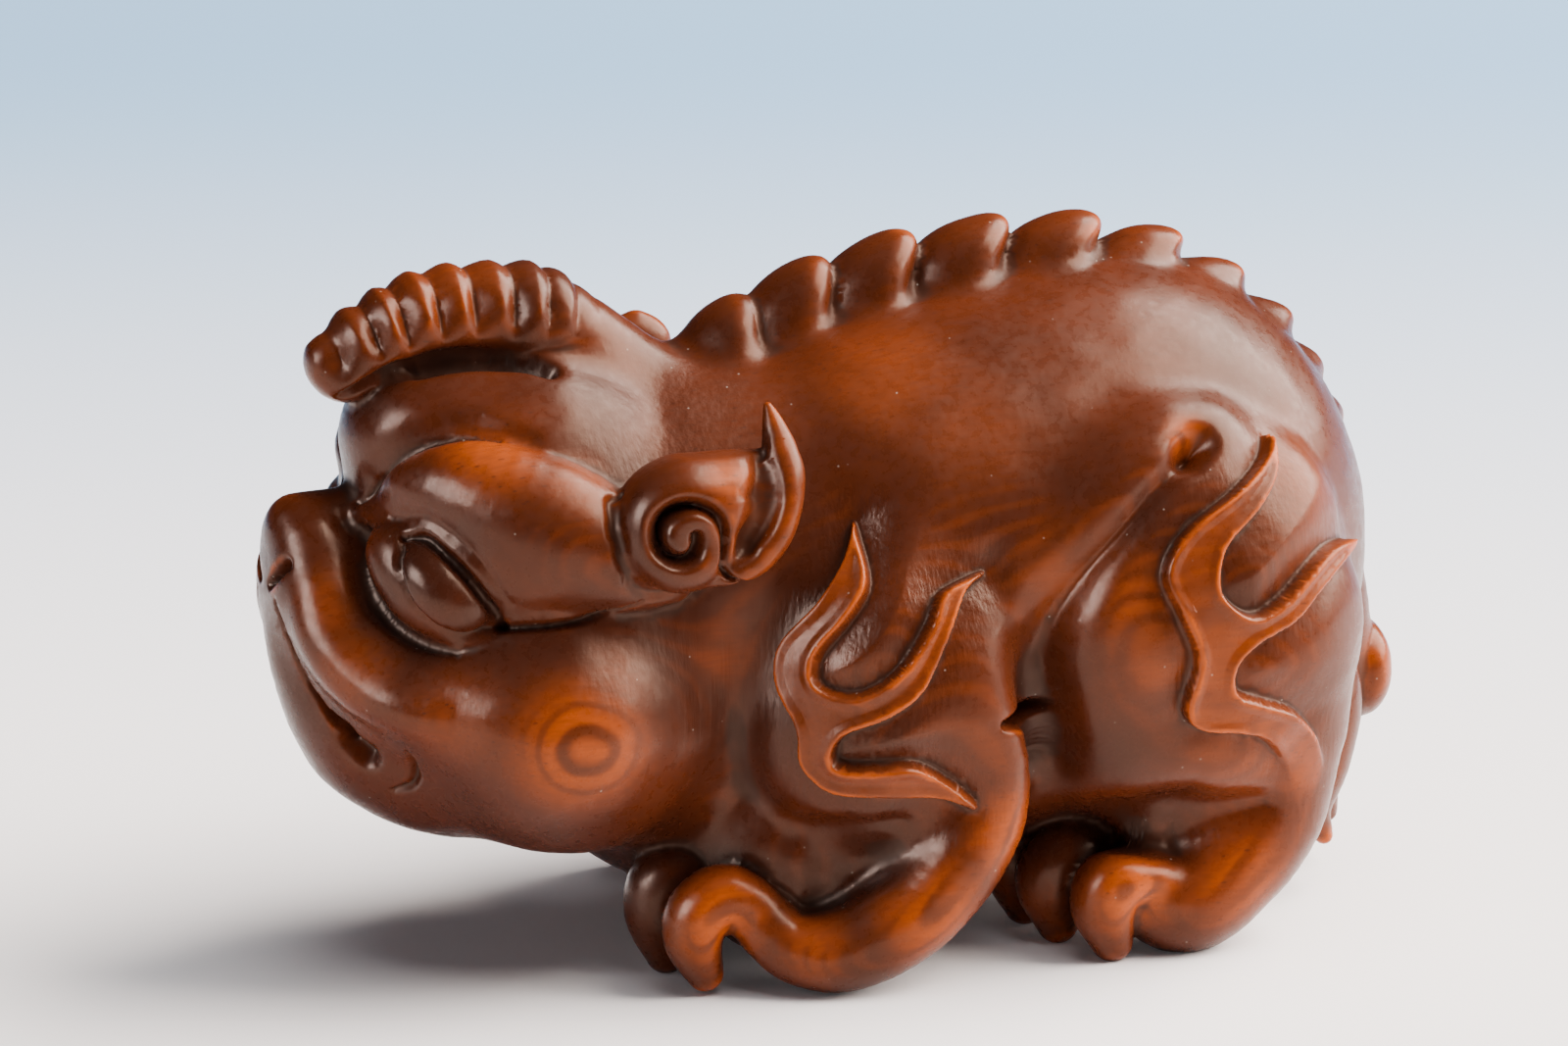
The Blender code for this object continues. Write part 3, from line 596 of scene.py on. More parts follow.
EARS = [
    # the crevice round the whole ear
    Cut([(-14.9, -10.2, 26.8), (-15.4, -10.9, 24.6), (-14.6, -11.2, 22.2), (-12.6, -11.6, 20.7),
         (-10.2, -12.2, 20.2), (-7.8, -12.3, 20.9), (-5.9, -12.0, 22.7), (-5.2, -11.4, 25.2),
         (-5.2, -10.6, 27.8)], 0.45, 0.45, ends=(0.5, 0.3)),
    # the scroll, from under the horn round to its middle
    Cut([(-7.9, -12.4, 22.2), (-9.2, -12.6, 21.9), (-10.0, -12.9, 22.3)] + scroll_points(-25, 374, 20),
        0.36, 1.1, ends=(0.3, 0.8), middle=1.2),
    Cut(scroll_points(80, 240, 8), 0.4, 0.4, ends=(0.5, 0.6)),
    # the hollow face beside the horn
    Cut([(-8.9, -12.6, 23.6), (-8.4, -12.5, 24.8), (-8.1, -12.2, 26.0), (-7.9, -11.7, 27.2),
         (-7.7, -11.0, 28.6)], 0.95, 0.8, ends=(0.6, 0.1)),
]

# %% [markdown]
# ## Thigh, forearm and foot
#
# The thigh is parted from the flank by one long groove that begins in a round pit. Scoops with
# a gouge hollow the forearm and the hind foot.

# %% Cuts of the legs
THIGH_EDGE = [(14.5, -12.6, 25.9), (12.5, -13.7, 24.8), (10.1, -14.4, 22.9), (8.4, -13.9, 20.8),
              (7.0, -13.5, 18.5), (6.3, -13.3, 16.0), (6.5, -12.9, 13.0), (7.0, -12.2, 10.5)]
LEG_CUTS = [
    Cut(THIGH_EDGE, 1.5, 0.8, ends=(0.6, 1.3)),
    Cut(THIGH_EDGE, 0.6, 0.4, ends=(0.8, 1.4)),
    # the pit at its top
    Cut([(15.0, -12.9, 26.7), (14.4, -13.1, 26.2)], 0.85, 1.0),
    # scoop above the hind foot
    Cut([(11.2, -11.9, 7.4), (13.1, -13.5, 7.3), (15.4, -13.8, 7.3), (18.6, -13.7, 7.9)],
        1.9, 1.3, ends=(0.8, 0.4)),
    # the scoop above the forearm, and the lip over it
    Cut([(-4.6, -12.0, 6.9), (-2.2, -12.6, 7.0), (0.2, -13.2, 7.6)], 2.0, 0.4, ends=(1.0, 1.0)),
    Cut([(-5.9, -11.8, 8.0), (-4.2, -12.1, 8.6), (-2.4, -12.8, 9.0), (-0.9, -13.2, 9.0)],
        0.9, 0.45, ends=(1.0, 0.4)),
    # notch in the back of the elbow
    Cut([(3.9, -15.0, 13.8), (5.0, -14.2, 13.7), (6.2, -13.0, 13.4)], 0.36, 1.2, ends=(0.5, 1.0)),
]

# %% [markdown]
# ## Flames
#
# On shoulder and haunch lies a band of flame, the sign that the beast is a magical one. The
# band has a raised rim on both edges and a sunk channel between them, and the ground beside it
# is cut away with a small chisel. All of that depends only on how far a point is inside or
# outside the band's outline, so one outline is enough for each flame.

# %% Flame bands
FLAME_RISE = 0.28
FLAME_SINK = 0.17
RIM_WIDTH = 0.26
WALL = 0.16
GROUND_DEPTH = 0.7
GROUND_WIDTH = 1.8


class Flame:
    """A raised band with a sunk middle, and the ground cut away around it.

    Over the heights in fade, the band dies away downwards.
    """

    def __init__(self, outline, fade=(-2, -1), chiselled=1.0):
        self.fade, self.chiselled = fade, chiselled
        self.line = land(curve_through(outline + outline[:1], 5))
        self.low, self.high = self.line.min(0) - 4, self.line.max(0) + 4

    def inside(self, places):
        """Distance to the outline, positive inside the band and negative outside it."""
        gap, _ = to_line(places, self.line)
        x, z = places[:, 0], places[:, 2]
        within = np.zeros(len(places), bool)
        for a, b in zip(self.line, self.line[1:]):
            if a[2] != b[2]:
                at = a[0] + (z - a[2]) * (b[0] - a[0]) / (b[2] - a[2])
                within ^= ((a[2] > z) != (b[2] > z)) & (x < at)
        return np.where(within, gap, -gap)

    def near(self, places):
        return ((places > self.low) & (places < self.high)).all(1)

    def carve(self, places):
        out = np.zeros(len(places))
        near = self.near(places)
        if near.any():
            inside = self.inside(places[near])
            band = FLAME_SINK * smooth_step(inside, RIM_WIDTH, 3 * RIM_WIDTH) - FLAME_RISE
            ground = GROUND_DEPTH * np.exp(-(np.maximum(-inside, 0) / GROUND_WIDTH) ** 1.5)
            wall = smooth_step(inside, -WALL, WALL)
            out[near] = (wall * band + (1 - wall) * ground) * smooth_step(places[near, 2], *self.fade)
        return out

    def band(self, places):
        """1 inside the band, 0 outside."""
        out = np.zeros(len(places))
        near = self.near(places)
        if near.any():
            out[near] = smooth_step(self.inside(places[near]), -0.05, 0.15)
        return out

    def ground(self, places):
        """How much each place is chiselled ground, 0 to 1."""
        out = np.zeros(len(places))
        near = self.near(places)
        if near.any():
            outside = -self.inside(places[near])
            out[near] = self.chiselled * smooth_step(outside, 0, 0.3) * (1 - smooth_step(outside, 1.2, 2.6))
        return out


SHOULDER_FLAME = Flame([
    (-2.8, -11.3, 24.1), (-2.7, -13.2, 21.5), (-3.8, -13.7, 19.8), (-5.5, -13.5, 17.8), (-5.7, -14.0, 16.5),
    (-4.0, -14.8, 16.0), (-1.9, -15.3, 17.1), (-0.1, -14.9, 19.2), (1.0, -14.2, 20.8), (3.6, -13.8, 21.5),
    (2.2, -14.1, 20.6), (0.7, -15.1, 18.2), (-0.6, -15.5, 16.1), (-2.3, -15.4, 14.9), (-4.6, -14.7, 13.9),
    (-4.9, -14.4, 12.4), (-3.0, -14.8, 12.2), (-1.0, -15.2, 12.2), (0.8, -15.0, 11.2), (2.3, -15.6, 9.6),
    (0.2, -14.8, 10.3), (-2.7, -14.7, 10.6), (-5.0, -13.8, 10.9), (-6.3, -13.2, 12.3), (-6.5, -13.2, 14.2),
    (-7.1, -12.0, 16.3), (-6.9, -11.8, 18.2), (-5.2, -12.5, 20.3), (-3.8, -12.2, 22.2)])
HAUNCH_FLAME = Flame([
    (19.6, -11.9, 27.0), (19.0, -13.8, 25.1), (17.5, -15.0, 23.6), (15.6, -15.8, 22.2), (15.0, -16.2, 20.7),
    (15.3, -16.3, 19.5), (16.8, -16.3, 18.5), (18.6, -15.9, 19.1), (20.9, -14.9, 20.6), (22.6, -13.6, 21.1),
    (24.8, -11.3, 20.6), (22.9, -13.6, 20.2), (21.0, -15.0, 19.2), (19.2, -15.9, 17.9), (17.0, -16.4, 17.0),
    (15.9, -16.5, 16.0), (16.0, -16.3, 14.6), (17.4, -16.1, 13.9), (19.6, -15.4, 12.9), (21.3, -14.2, 11.2),
    (21.9, -13.4, 9.2), (20.4, -13.8, 8.0), (19.4, -14.6, 10.0), (18.0, -15.5, 11.6), (16.3, -15.9, 12.3),
    (14.1, -16.0, 12.7), (13.2, -16.2, 13.9), (13.7, -16.4, 16.6), (12.9, -16.3, 18.8), (12.1, -15.9, 21.0),
    (13.4, -15.5, 23.0), (16.3, -14.8, 24.6), (18.4, -13.4, 25.8)], fade=(9.0, 13.0), chiselled=0.4)
FLAMES = [SHOULDER_FLAME, HAUNCH_FLAME]

# %% [markdown]
# ## The ribbed crest
#
# The crest is a comb of ribs that fan out from a point inside the head. Each rib rises slowly
# behind the groove in front of it and drops steeply into the next one. The grooves are deepest
# on the flanks, shallow over the top, and die out above the smooth roll below.

# %% Ribs of the crest
# where each groove crosses the top of the crest
RIBS = [-27.6, -25.1, -23.3, -21.3, -19.3, -17.2, -15.2, -13.4, -11.9, -10.6]
RIB_PEAK = 0.62
RIB_DEPTH = 0.66
FAN_MIDDLE = (-19.3, 16.0)
CREST_TOP = 35.0
CREST_AXIS = [(-27, 30.9), (-24, 32.4), (-20, 33.4), (-16, 33.0), (-13, 31.1), (-10, 28.6)]
CREST_HALF = 2.4
# the ribs swell up behind the tip, and fade into the neck
TIP_END, NECK_END = (-27.4, -26.4), (-17.6, -14.6)


def crest_ribs(places):
    out = np.zeros(len(places))
    near = (places[:, 0] < -8) & (np.abs(places[:, 1]) < 4) & (places[:, 2] > 28.5)
    if near.any():
        x, _, z = places[near].T
        top_x = FAN_MIDDLE[0] + (x - FAN_MIDDLE[0]) * (CREST_TOP - FAN_MIDDLE[1]) / (z - FAN_MIDDLE[1])
        turn = np.interp(top_x, RIBS, np.arange(len(RIBS)))
        phase = turn - np.floor(turn)
        rise = np.where(phase < RIB_PEAK, phase / RIB_PEAK, (1 - phase) / (1 - RIB_PEAK))
        up = (z - np.interp(x, *zip(*CREST_AXIS))) / CREST_HALF
        side = smooth_step(up, -0.5, 0.4) * (1 - 0.4 * smooth_step(up, 0.55, 1.0))
        # low down the ribs end sooner than along the top
        leaned = x - CREST_HALF * np.clip(up, 0, 1)
        fade = np.interp(x, TIP_END, (0, 1)) * np.interp(leaned, NECK_END, (1, 0))
        out[near] = RIB_DEPTH * fade * side * (1 - rise) ** 1.5
    return out


# %% [markdown]
# ## Cutting
#
# All cuts go in at once, each vertex straight down along its own normal by the sum of the
# depths. Cutting one after another would drag the later lines off their places. First the
# skin gets finer where the knife will go, and only there.

# %% Depth of the carving
CUTS = FACE + EARS + LEG_CUTS


def carved_depth(places):
    """How deep the carving goes under each place of the uncarved surface."""
    left = places * (1, 0, 1) - np.abs(places) * (0, 1, 0)
    depth = crest_ribs(left)
    for cut in CUTS + FLAMES:
        depth += cut.carve(left)
    return depth


WAVER = 0.022


def hand_waver(places):
    """The slight unevenness of a surface that was scraped and polished by hand."""
    x, y, z = places.T
    waver = np.sin(1.3 * x + 0.7 * y + 0.4) * np.sin(1.1 * z - 0.5 * x + 1.0)
    waver += 0.6 * np.sin(2.3 * z + 0.9 * y) * np.sin(1.9 * x - 1.1 * z + 0.7)
    return WAVER * waver


# %% Finer skin where the knife goes
def refine(beast, steepest=0.03):
    depth = carved_depth(numbers(beast.data.vertices, "co", 3))
    corners = numbers(beast.data.polygons, "vertices", 4).astype(int)
    steep = np.ptp(depth[corners], axis=1) > steepest
    bpy.ops.object.mode_set(mode="EDIT")
    bpy.ops.mesh.select_mode(type="FACE")
    bpy.ops.mesh.select_all(action="DESELECT")
    bpy.ops.object.mode_set(mode="OBJECT")
    beast.data.polygons.foreach_set("select", steep)
    bpy.ops.object.mode_set(mode="EDIT")
    bpy.ops.mesh.subdivide(number_cuts=1, smoothness=0)
    bpy.ops.mesh.select_all(action="SELECT")
    bpy.ops.mesh.quads_convert_to_tris()
    bpy.ops.object.mode_set(mode="OBJECT")
    return int(steep.sum())


print("refined", refine(beast), "faces")
settle(beast, 1)


# %% The cut itself
def engrave(beast):
    edges = numbers(beast.data.edges, "vertices", 2).astype(int)
    down = numbers(beast.data.vertex_normals, "vector", 3)
    for _ in range(5):
        down = relaxed(down, edges, 0.8)
    down /= np.maximum(np.linalg.norm(down, axis=1), 1e-9)[:, None]
    places = numbers(beast.data.vertices, "co", 3)
    depth = carved_depth(places)
    carved = places - down * (depth + hand_waver(places))[:, None]
    carved = relaxed(carved, edges, 0.2)
    put_places(beast.data, carved)
    return places, down, depth, edges


uncut, down, depth, edges = engrave(beast)
print("deepest cut", round(float(depth.max()), 2), "mm")

# %% [markdown]
# ## The cord tunnel
#
# The cord of a netsuke runs through two holes joined inside. The photograph doesn't show them,
# so they sit under the belly, the usual place, and their size is a guess.

# %% Two holes under the belly
CORD_HOLE_RADIUS = 1.7
CORD_HOLE_HALF_SPACING = 4.2
CORD_TUNNEL_X = 7.4
CORD_TUNNEL_DEPTH = 8.6


def cord_tunnel():
    """A bent round bar, to be cut out of the beast."""
    half, deep = CORD_HOLE_HALF_SPACING, CORD_TUNNEL_DEPTH
    arch = [(-half, 0.5), (-half, 0.52 * deep), (-0.6 * half, 0.86 * deep), (0, deep),
            (0.6 * half, 0.86 * deep), (half, 0.52 * deep), (half, 0.5)]
    data = bpy.data.curves.new("cord_tunnel", "CURVE")
    data.dimensions = "3D"
    route = curve_through([(CORD_TUNNEL_X + along, 0, z) for along, z in arch])
    spline = data.splines.new("POLY")
    spline.points.add(len(route) - 1)
    for point, place in zip(spline.points, route):
        point.co = (*place, 1)
    data.bevel_depth = CORD_HOLE_RADIUS
    data.bevel_resolution = 8
    data.use_fill_caps = True
    tunnel = bpy.data.objects.new("cord_tunnel", data)
    bpy.context.collection.objects.link(tunnel)
    bpy.ops.object.select_all(action="DESELECT")
    tunnel.select_set(True)
    bpy.context.view_layer.objects.active = tunnel
    bpy.ops.object.convert(target="MESH")
    return bpy.context.object


# %% [markdown]
# ## What stain and painted shade follow
#
# Stain and years of handling colour a carving by its shape: dark where a cloth never reaches,
# bright on the rims. On top of that, shade is painted into the hollows, creases and gaps
# between parts. All of it is measured on the fine mesh and kept as numbers on its vertices,
# which the material then reads. A shader could guess it from the bump, but numbers measured
# on the real form stay in place in every view. Hands don't wear a thing evenly, so soft spots
# add more wear, darker stain and painted shade where the photograph shows them, and the
# strokes of a scraper.


# %% Hollows and rims
def keep(beast, name, values):
    layer = beast.data.attributes.new(name, "FLOAT", "POINT")
    layer.data.foreach_set("value", np.clip(values, 0, 1).astype(np.float32))


def closeness(places, outward, lengths):
    """How closed in each place is, from the free distance some way out along its normal."""
    closed = np.zeros(len(places))
    for length in lengths:
        free = uncarved(places + outward * length, reach=length + 0.5)
        closed += np.clip(1 - free / length, 0, 1) / len(lengths)
    return closed


def bulge(places, normals, edges, rounds):
    """How far each vertex stands out of the mean of its surroundings, in millimetres."""
    around = places
    for _ in range(rounds):
        around = relaxed(around, edges, 0.7)
    return ((places - around) * normals).sum(1)


# %% Spots of wear, dark stain and painted shade
# x, y, z, radius and how much: where handling wore the stain thin, and where darker stain and painted shade
# go
WORN_SPOTS = [
    # brow, cheek, muzzle and ear
    (-20.6, -7.8, 28.2, 3.6, 0.65), (-16.0, -9.4, 26.4, 3.0, 0.35),
    (-17.5, -13.0, 14.2, 5.0, 0.95), (-15.2, -11.6, 17.2, 2.6, 0.4), (-22.5, -9.5, 15.5, 3.5, 0.3),
    (-27.6, -4.4, 20.4, 2.8, 0.5), (-26.6, -6.0, 17.6, 3.0, 0.5),
    (-9.6, -12.4, 27.2, 1.8, 0.6), (-7.4, -12.2, 25.0, 1.8, 0.35),
    # crest, back and flank
    (-20.0, -1.5, 34.5, 6.0, 0.2), (0.8, -6.8, 30.0, 5.0, 0.3), (4.0, -10.0, 27.0, 5.0, 0.2),
    (8.2, -14.0, 21.0, 4.5, 0.4), (-4.0, -13.8, 16.0, 3.5, 0.3), (-9.3, -10.1, 17.5, 2.2, 0.4),
    # thigh and haunch
    (11.0, -15.5, 19.4, 3.6, 0.55), (12.6, -15.6, 17.0, 3.6, 0.4), (14.6, -12.9, 27.3, 1.8, 0.8),
    (20.0, -13.0, 24.0, 6.0, 0.3), (17.0, -14.5, 12.0, 5.0, 0.25),
    # forearm, paws and tail
    (-0.2, -15.0, 4.5, 4.0, 0.8), (-5.5, -13.6, 3.0, 2.5, 0.7), (-10.4, -12.2, 4.3, 3.6, 0.9),
    (4.6, -15.0, 8.1, 3.4, 0.6),
    (11.4, -14.1, 4.0, 3.4, 0.9), (17.2, -14.2, 4.2, 3.6, 0.6), (30.5, -1.5, 11.0, 3.0, 0.6),
]
SHADE_AND_DARK_STAIN_SPOTS = [
    # darker stain on the eye, and painted shade round it and under the hem over it
    (-24.7, -8.0, 22.6, 3.6, 1.0), (-23.4, -9.0, 22.0, 3.6, 1.0), (-22.2, -9.4, 20.7, 3.2, 1.0),
    (-25.3, -5.4, 21.0, 3.0, 1.0), (-22.6, -8.8, 24.0, 2.4, 0.7),
    # painted shade in the mouth, under the jaw, and between nose and forehead
    (-27.8, -2.0, 15.0, 4.5, 0.6), (-20.5, -7.5, 8.5, 5.0, 0.6), (-27.2, -3.6, 14.6, 2.0, 0.9),
    (-28.2, -1.6, 24.0, 2.0, 0.3), (-19.0, -7.6, 30.0, 2.4, 0.5),
    # painted shade under the crest, and darker stain and painted shade in the scroll and hollow of the ear
    (-21.0, -3.0, 31.4, 3.5, 0.7), (-25.0, -1.8, 30.8, 3.0, 0.7), (-17.0, -4.0, 31.0, 3.0, 0.6),
    (-12.8, -12.6, 23.9, 3.8, 0.9), (-10.8, -13.0, 22.6, 3.0, 0.6), (-8.2, -12.0, 26.0, 1.6, 0.8),
    (-6.0, -9.5, 24.0, 4.0, 0.3),
    # painted shade between cheek and shoulder
    (-10.5, -10.6, 15.0, 3.5, 0.5), (-7.8, -10.5, 14.0, 3.0, 0.5),
    # painted shade in the scoops of the legs, and between thigh and hind toes
    (-1.5, -13.2, 7.4, 3.4, 0.7), (13.5, -13.2, 8.0, 3.4, 0.8), (10.0, -14.6, 11.4, 4.2, 0.9),
    (7.2, -13.4, 15.0, 3.0, 0.6), (7.9, -9.8, 5.6, 3.4, 0.9), (10.2, -9.6, 6.9, 3.0, 0.9),
]
# and painted shade in front of each back scale
SHADE_AND_DARK_STAIN_SPOTS += [(x - 0.6 * length, -2.4, z - 0.5 * height, 0.5 * length, 0.6)
               for x, z, length, height in SCALES]
# where the skin still shows the strokes of a scraper
SCRAPED_SPOTS = [(-11.5, -7.0, 27.0, 6.5, 1.0), (-9.5, -10.0, 17.0, 6.0, 0.9),
                 (-9.0, -4.0, 28.0, 5.0, 1.0), (-18.5, -8.5, 24.5, 4.0, 0.35),
                 (-15.0, -12.0, 17.5, 3.5, 0.5), (22.0, -12.0, 22.0, 8.0, 0.3)]


def spots(places, rows):
    out = np.zeros(len(places))
    for x, y, z, radius, amount in rows:
        gap = np.linalg.norm(places - (x, y, z), axis=1) / radius
        out = np.maximum(out, amount * (1 - smooth_step(gap, 0.1, 1)))
    return out


# %% Measure the carving
WOOD_DEPTH = 3.0

carved = numbers(beast.data.vertices, "co", 3)
normals = numbers(beast.data.vertex_normals, "vector", 3)
stand_out = bulge(carved, normals, edges, 10)
left = uncut * (1, 0, 1) - np.abs(uncut) * (0, 1, 0)
measured = {
    "rim": (stand_out - 0.05) / 0.12,
    "hollow": -stand_out / 0.08,
    # closed: how shut in each place is, which the material paints as shade
    "closed": closeness(uncut, down, (1.0, 2.5, 5.0)),
    "thin": 1 + uncarved(uncut - down * WOOD_DEPTH, reach=WOOD_DEPTH + 0.5) / WOOD_DEPTH,
    "side": np.abs(normals[:, 1]),
    "cut": sum(cut.carve(left) for cut in FACE) + 1.3 * sum(cut.carve(left) for cut in EARS),
    "ground": sum(flame.ground(left) for flame in FLAMES),
    "band": sum(flame.band(left) for flame in FLAMES),
    "worn": spots(left, WORN_SPOTS),
    # deep: the spots of darker stain and painted shade
    "deep": spots(left, SHADE_AND_DARK_STAIN_SPOTS),
    "scraped": spots(left, SCRAPED_SPOTS),
}
for name, values in measured.items():
    keep(beast, name, values)
    print(name, np.round(np.percentile(values, (10, 50, 90, 99)), 2))

# %% [markdown]
# ## Standing, placing and thinning
#
# The undersides of the pads and claws are rubbed flat, so the beast stands still. It is moved
# to the middle of the solid's box and turned into metres. At last the mesh is thinned. Collapse
# takes triangles from the plain round parts first and leaves the fine cuts their own.

# %% Stand, place, thin
MOST_TRIANGLES = 190000

places = numbers(beast.data.vertices, "co", 3)
places[:, 2] = np.maximum(places[:, 2], 0)
middle = (places.min(0) + places.max(0)) / 2
target = (node_low + node_high) / 2
tunnel = cord_tunnel()
# the tunnel's inside counts as fully shut in, so it is painted dark as shade
keep(tunnel, "closed", np.ones(len(tunnel.data.vertices)))
bpy.ops.object.select_all(action="DESELECT")
beast.select_set(True)
bpy.context.view_layer.objects.active = beast
bore = beast.modifiers.new("bore", "BOOLEAN")
bore.operation, bore.object, bore.solver = "DIFFERENCE", tunnel, "EXACT"
put_places(beast.data, places)
bpy.ops.object.modifier_apply(modifier=bore.name)
bpy.data.objects.remove(tunnel)
places = numbers(beast.data.vertices, "co", 3)
places += (target[0] - middle[0], target[1] - middle[1], 0)
put_places(beast.data, places * MM)
triangles = sum(len(face.vertices) - 2 for face in beast.data.polygons)
thinning = beast.modifiers.new("thin", "DECIMATE")
thinning.ratio = min(1, MOST_TRIANGLES / triangles)
bpy.ops.object.modifier_apply(modifier=thinning.name)
bpy.ops.object.shade_smooth()
print(triangles, "triangles thinned to", len(beast.data.polygons))
print("moved by", np.round(target - middle, 2), "mm")
print("it spans", np.round(np.array(beast.dimensions) / MM, 2), "mm")

# %% [markdown]
# ## Stained boxwood
#
# Boxwood is pale, hard and nearly without pores. Here it was stained red-brown and rubbed, so
# the stain stayed in the hollows and wore through to orange on the rims and in the softer
# growth rings. Painted shade darkens the hollows, creases and gaps further. The rings are
# layers that lie nearly flat along the left side, so each bulge shows them as closed loops,
# most clearly on the round cheek. A few spots follow the wear in the photograph, and others
# its dark places, as darker stain and painted shade. Shared effects are node groups with
# named sockets.


# %% Node helpers
def node_group(name, inputs, outputs):
    tree = bpy.data.node_groups.new(name, "ShaderNodeTree")
    for socket, kind, value in inputs:
        made = tree.interface.new_socket(socket, in_out="INPUT", socket_type=kind)
        if value is not None:
            made.default_value = value
    for socket, kind in outputs:
        tree.interface.new_socket(socket, in_out="OUTPUT", socket_type=kind)
    return tree, tree.nodes.new("NodeGroupInput"), tree.nodes.new("NodeGroupOutput")


def add(tree, kind, links=(), **values):
    """A node with its own settings in values and its inputs linked or set by links."""
    node = tree.nodes.new(kind)
    for name, value in values.items():
        setattr(node, name, value)
    for socket, source in dict(links).items():
        if isinstance(source, bpy.types.NodeSocket):
            tree.links.new(source, node.inputs[socket])
        else:
            node.inputs[socket].default_value = source
    return node


def maths(tree, operation, a, b=0.0, clamp=False):
    return add(tree, "ShaderNodeMath", {0: a, 1: b}, operation=operation, use_clamp=clamp).outputs[0]


def kept(tree, name):
    """One of the numbers kept on the vertices."""
    return add(tree, "ShaderNodeAttribute", attribute_name=name).outputs["Fac"]


def times(tree, a, b, clamp=False):
    return maths(tree, "MULTIPLY", a, b, clamp)


def mixed(tree, share, a, b):
    node = add(tree, "ShaderNodeMix", data_type="RGBA")
    for socket, source in ((node.inputs[0], share), (node.inputs[6], a), (node.inputs[7], b)):
        if isinstance(source, bpy.types.NodeSocket):
            tree.links.new(source, socket)
        else:
            socket.default_value = source
    return node.outputs[2]


def ranged(tree, value, low, high, to_low=0.0, to_high=1.0):
    return add(tree, "ShaderNodeMapRange", {0: value, 1: low, 2: high, 3: to_low, 4: to_high},
               interpolation_type="SMOOTHSTEP").outputs[0]


FLOAT = "NodeSocketFloat"


# %% Growth rings and fibre
# the tree's middle lies far beyond the left side, so the layers are nearly flat
HEART_Y, HEART_Z = -0.09, 0.012


def grain_group():
    """Rings: 0 to 1 across each growth ring. Fibre: fine streaks along the grain."""
    tree, given, out = node_group(
        "boxwood grain", [("Ring Width", FLOAT, 0.00043), ("Wander", FLOAT, 0.0003)],
        [("Rings", FLOAT), ("Fibre", FLOAT)])
    where = add(tree, "ShaderNodeTexCoord").outputs["Object"]
    slow = add(tree, "ShaderNodeTexNoise", {"Vector": where, "Scale": 90.0, "Detail": 2.0})
    apart = add(tree, "ShaderNodeSeparateXYZ", {0: where})
    over = maths(tree, "SUBTRACT", apart.outputs[2], HEART_Z)
    in_from = maths(tree, "POWER", maths(tree, "SUBTRACT", apart.outputs[1], HEART_Y), 2.0)
    depth_in = maths(tree, "POWER", maths(tree, "ADD", times(tree, over, over), in_from), 0.5)
    wander = times(tree, maths(tree, "SUBTRACT", slow.outputs[0], 0.5),
                   times(tree, given.outputs["Wander"], 4.0))
    turn = maths(tree, "DIVIDE", maths(tree, "ADD", depth_in, wander), given.outputs["Ring Width"])
    wave = maths(tree, "SINE", times(tree, turn, 2 * math.pi))
    tree.links.new(ranged(tree, wave, -1.0, 1.0), out.inputs["Rings"])
    stretch = add(tree, "ShaderNodeMapping", {"Vector": where, "Scale": (0.12, 1.0, 1.0)})
    fibre = add(tree, "ShaderNodeTexNoise", {"Vector": stretch.outputs[0], "Scale": 5200.0, "Detail": 3.0})
    tree.links.new(fibre.outputs[0], out.inputs["Fibre"])
    return tree


# %% Wear
def wear_and_shade_group():
    """Seam: narrow lines, dark with stain and painted shade. Shade: painted shade in wide hollows.
    Bright: where handling wore it off.
    """
    tree, given, out = node_group(
        "handling wear and painted shade", [("Seam Amount", FLOAT, 0.85), ("Shade Amount", FLOAT, 0.7),
                          ("Bright Amount", FLOAT, 0.9)],
        [("Seam", FLOAT), ("Shade", FLOAT), ("Bright", FLOAT)])
    read = {name: kept(tree, name) for name in ("rim", "hollow", "closed", "cut", "band")}
    outside = maths(tree, "SUBTRACT", 1.0, times(tree, read["band"], 0.85))
    crease = times(tree, ranged(tree, read["hollow"], 0.45, 1.0), outside)
    knifed = ranged(tree, read["cut"], 0.55, 1.3, 0.0, 0.9)
    seam = maths(tree, "MAXIMUM", times(tree, crease, 0.7), knifed)
    seam = maths(tree, "MAXIMUM", seam, ranged(tree, read["closed"], 0.85, 1.1))
    shade = ranged(tree, read["closed"], 0.2, 0.8)
    where = add(tree, "ShaderNodeTexCoord").outputs["Object"]
    patch = add(tree, "ShaderNodeTexNoise", {"Vector": where, "Scale": 260.0, "Detail": 4.0})
    patchy = ranged(tree, patch.outputs[0], 0.32, 0.62)
    bright = times(tree, ranged(tree, read["rim"], 0.0, 1.0), patchy)
    for name, value in (("Seam", seam), ("Shade", shade), ("Bright", bright)):
        amount = times(tree, value, given.outputs[name + " Amount"], clamp=True)
        tree.links.new(amount, out.inputs[name])
    return tree


# %% Dust
def dust_group():
    """Pale specks of dust, more of them in the hollows."""
    tree, given, out = node_group("dust specks", [("Amount", FLOAT, 0.35)], [("Specks", FLOAT)])
    where = add(tree, "ShaderNodeTexCoord").outputs["Object"]
    cells = add(tree, "ShaderNodeTexVoronoi", {"Vector": where, "Scale": 2200.0, "Randomness": 1.0})
    dot = ranged(tree, cells.outputs["Distance"], 0.17, 0.05)
    rare = add(tree, "ShaderNodeSeparateColor", {0: cells.outputs["Color"]}).outputs[0]
    limit = maths(tree, "SUBTRACT", 0.972, times(tree, kept(tree, "hollow"), 0.12))
    chosen = maths(tree, "GREATER_THAN", rare, limit)
    tree.links.new(times(tree, times(tree, dot, chosen), given.outputs["Amount"]),
                   out.inputs["Specks"])
    return tree


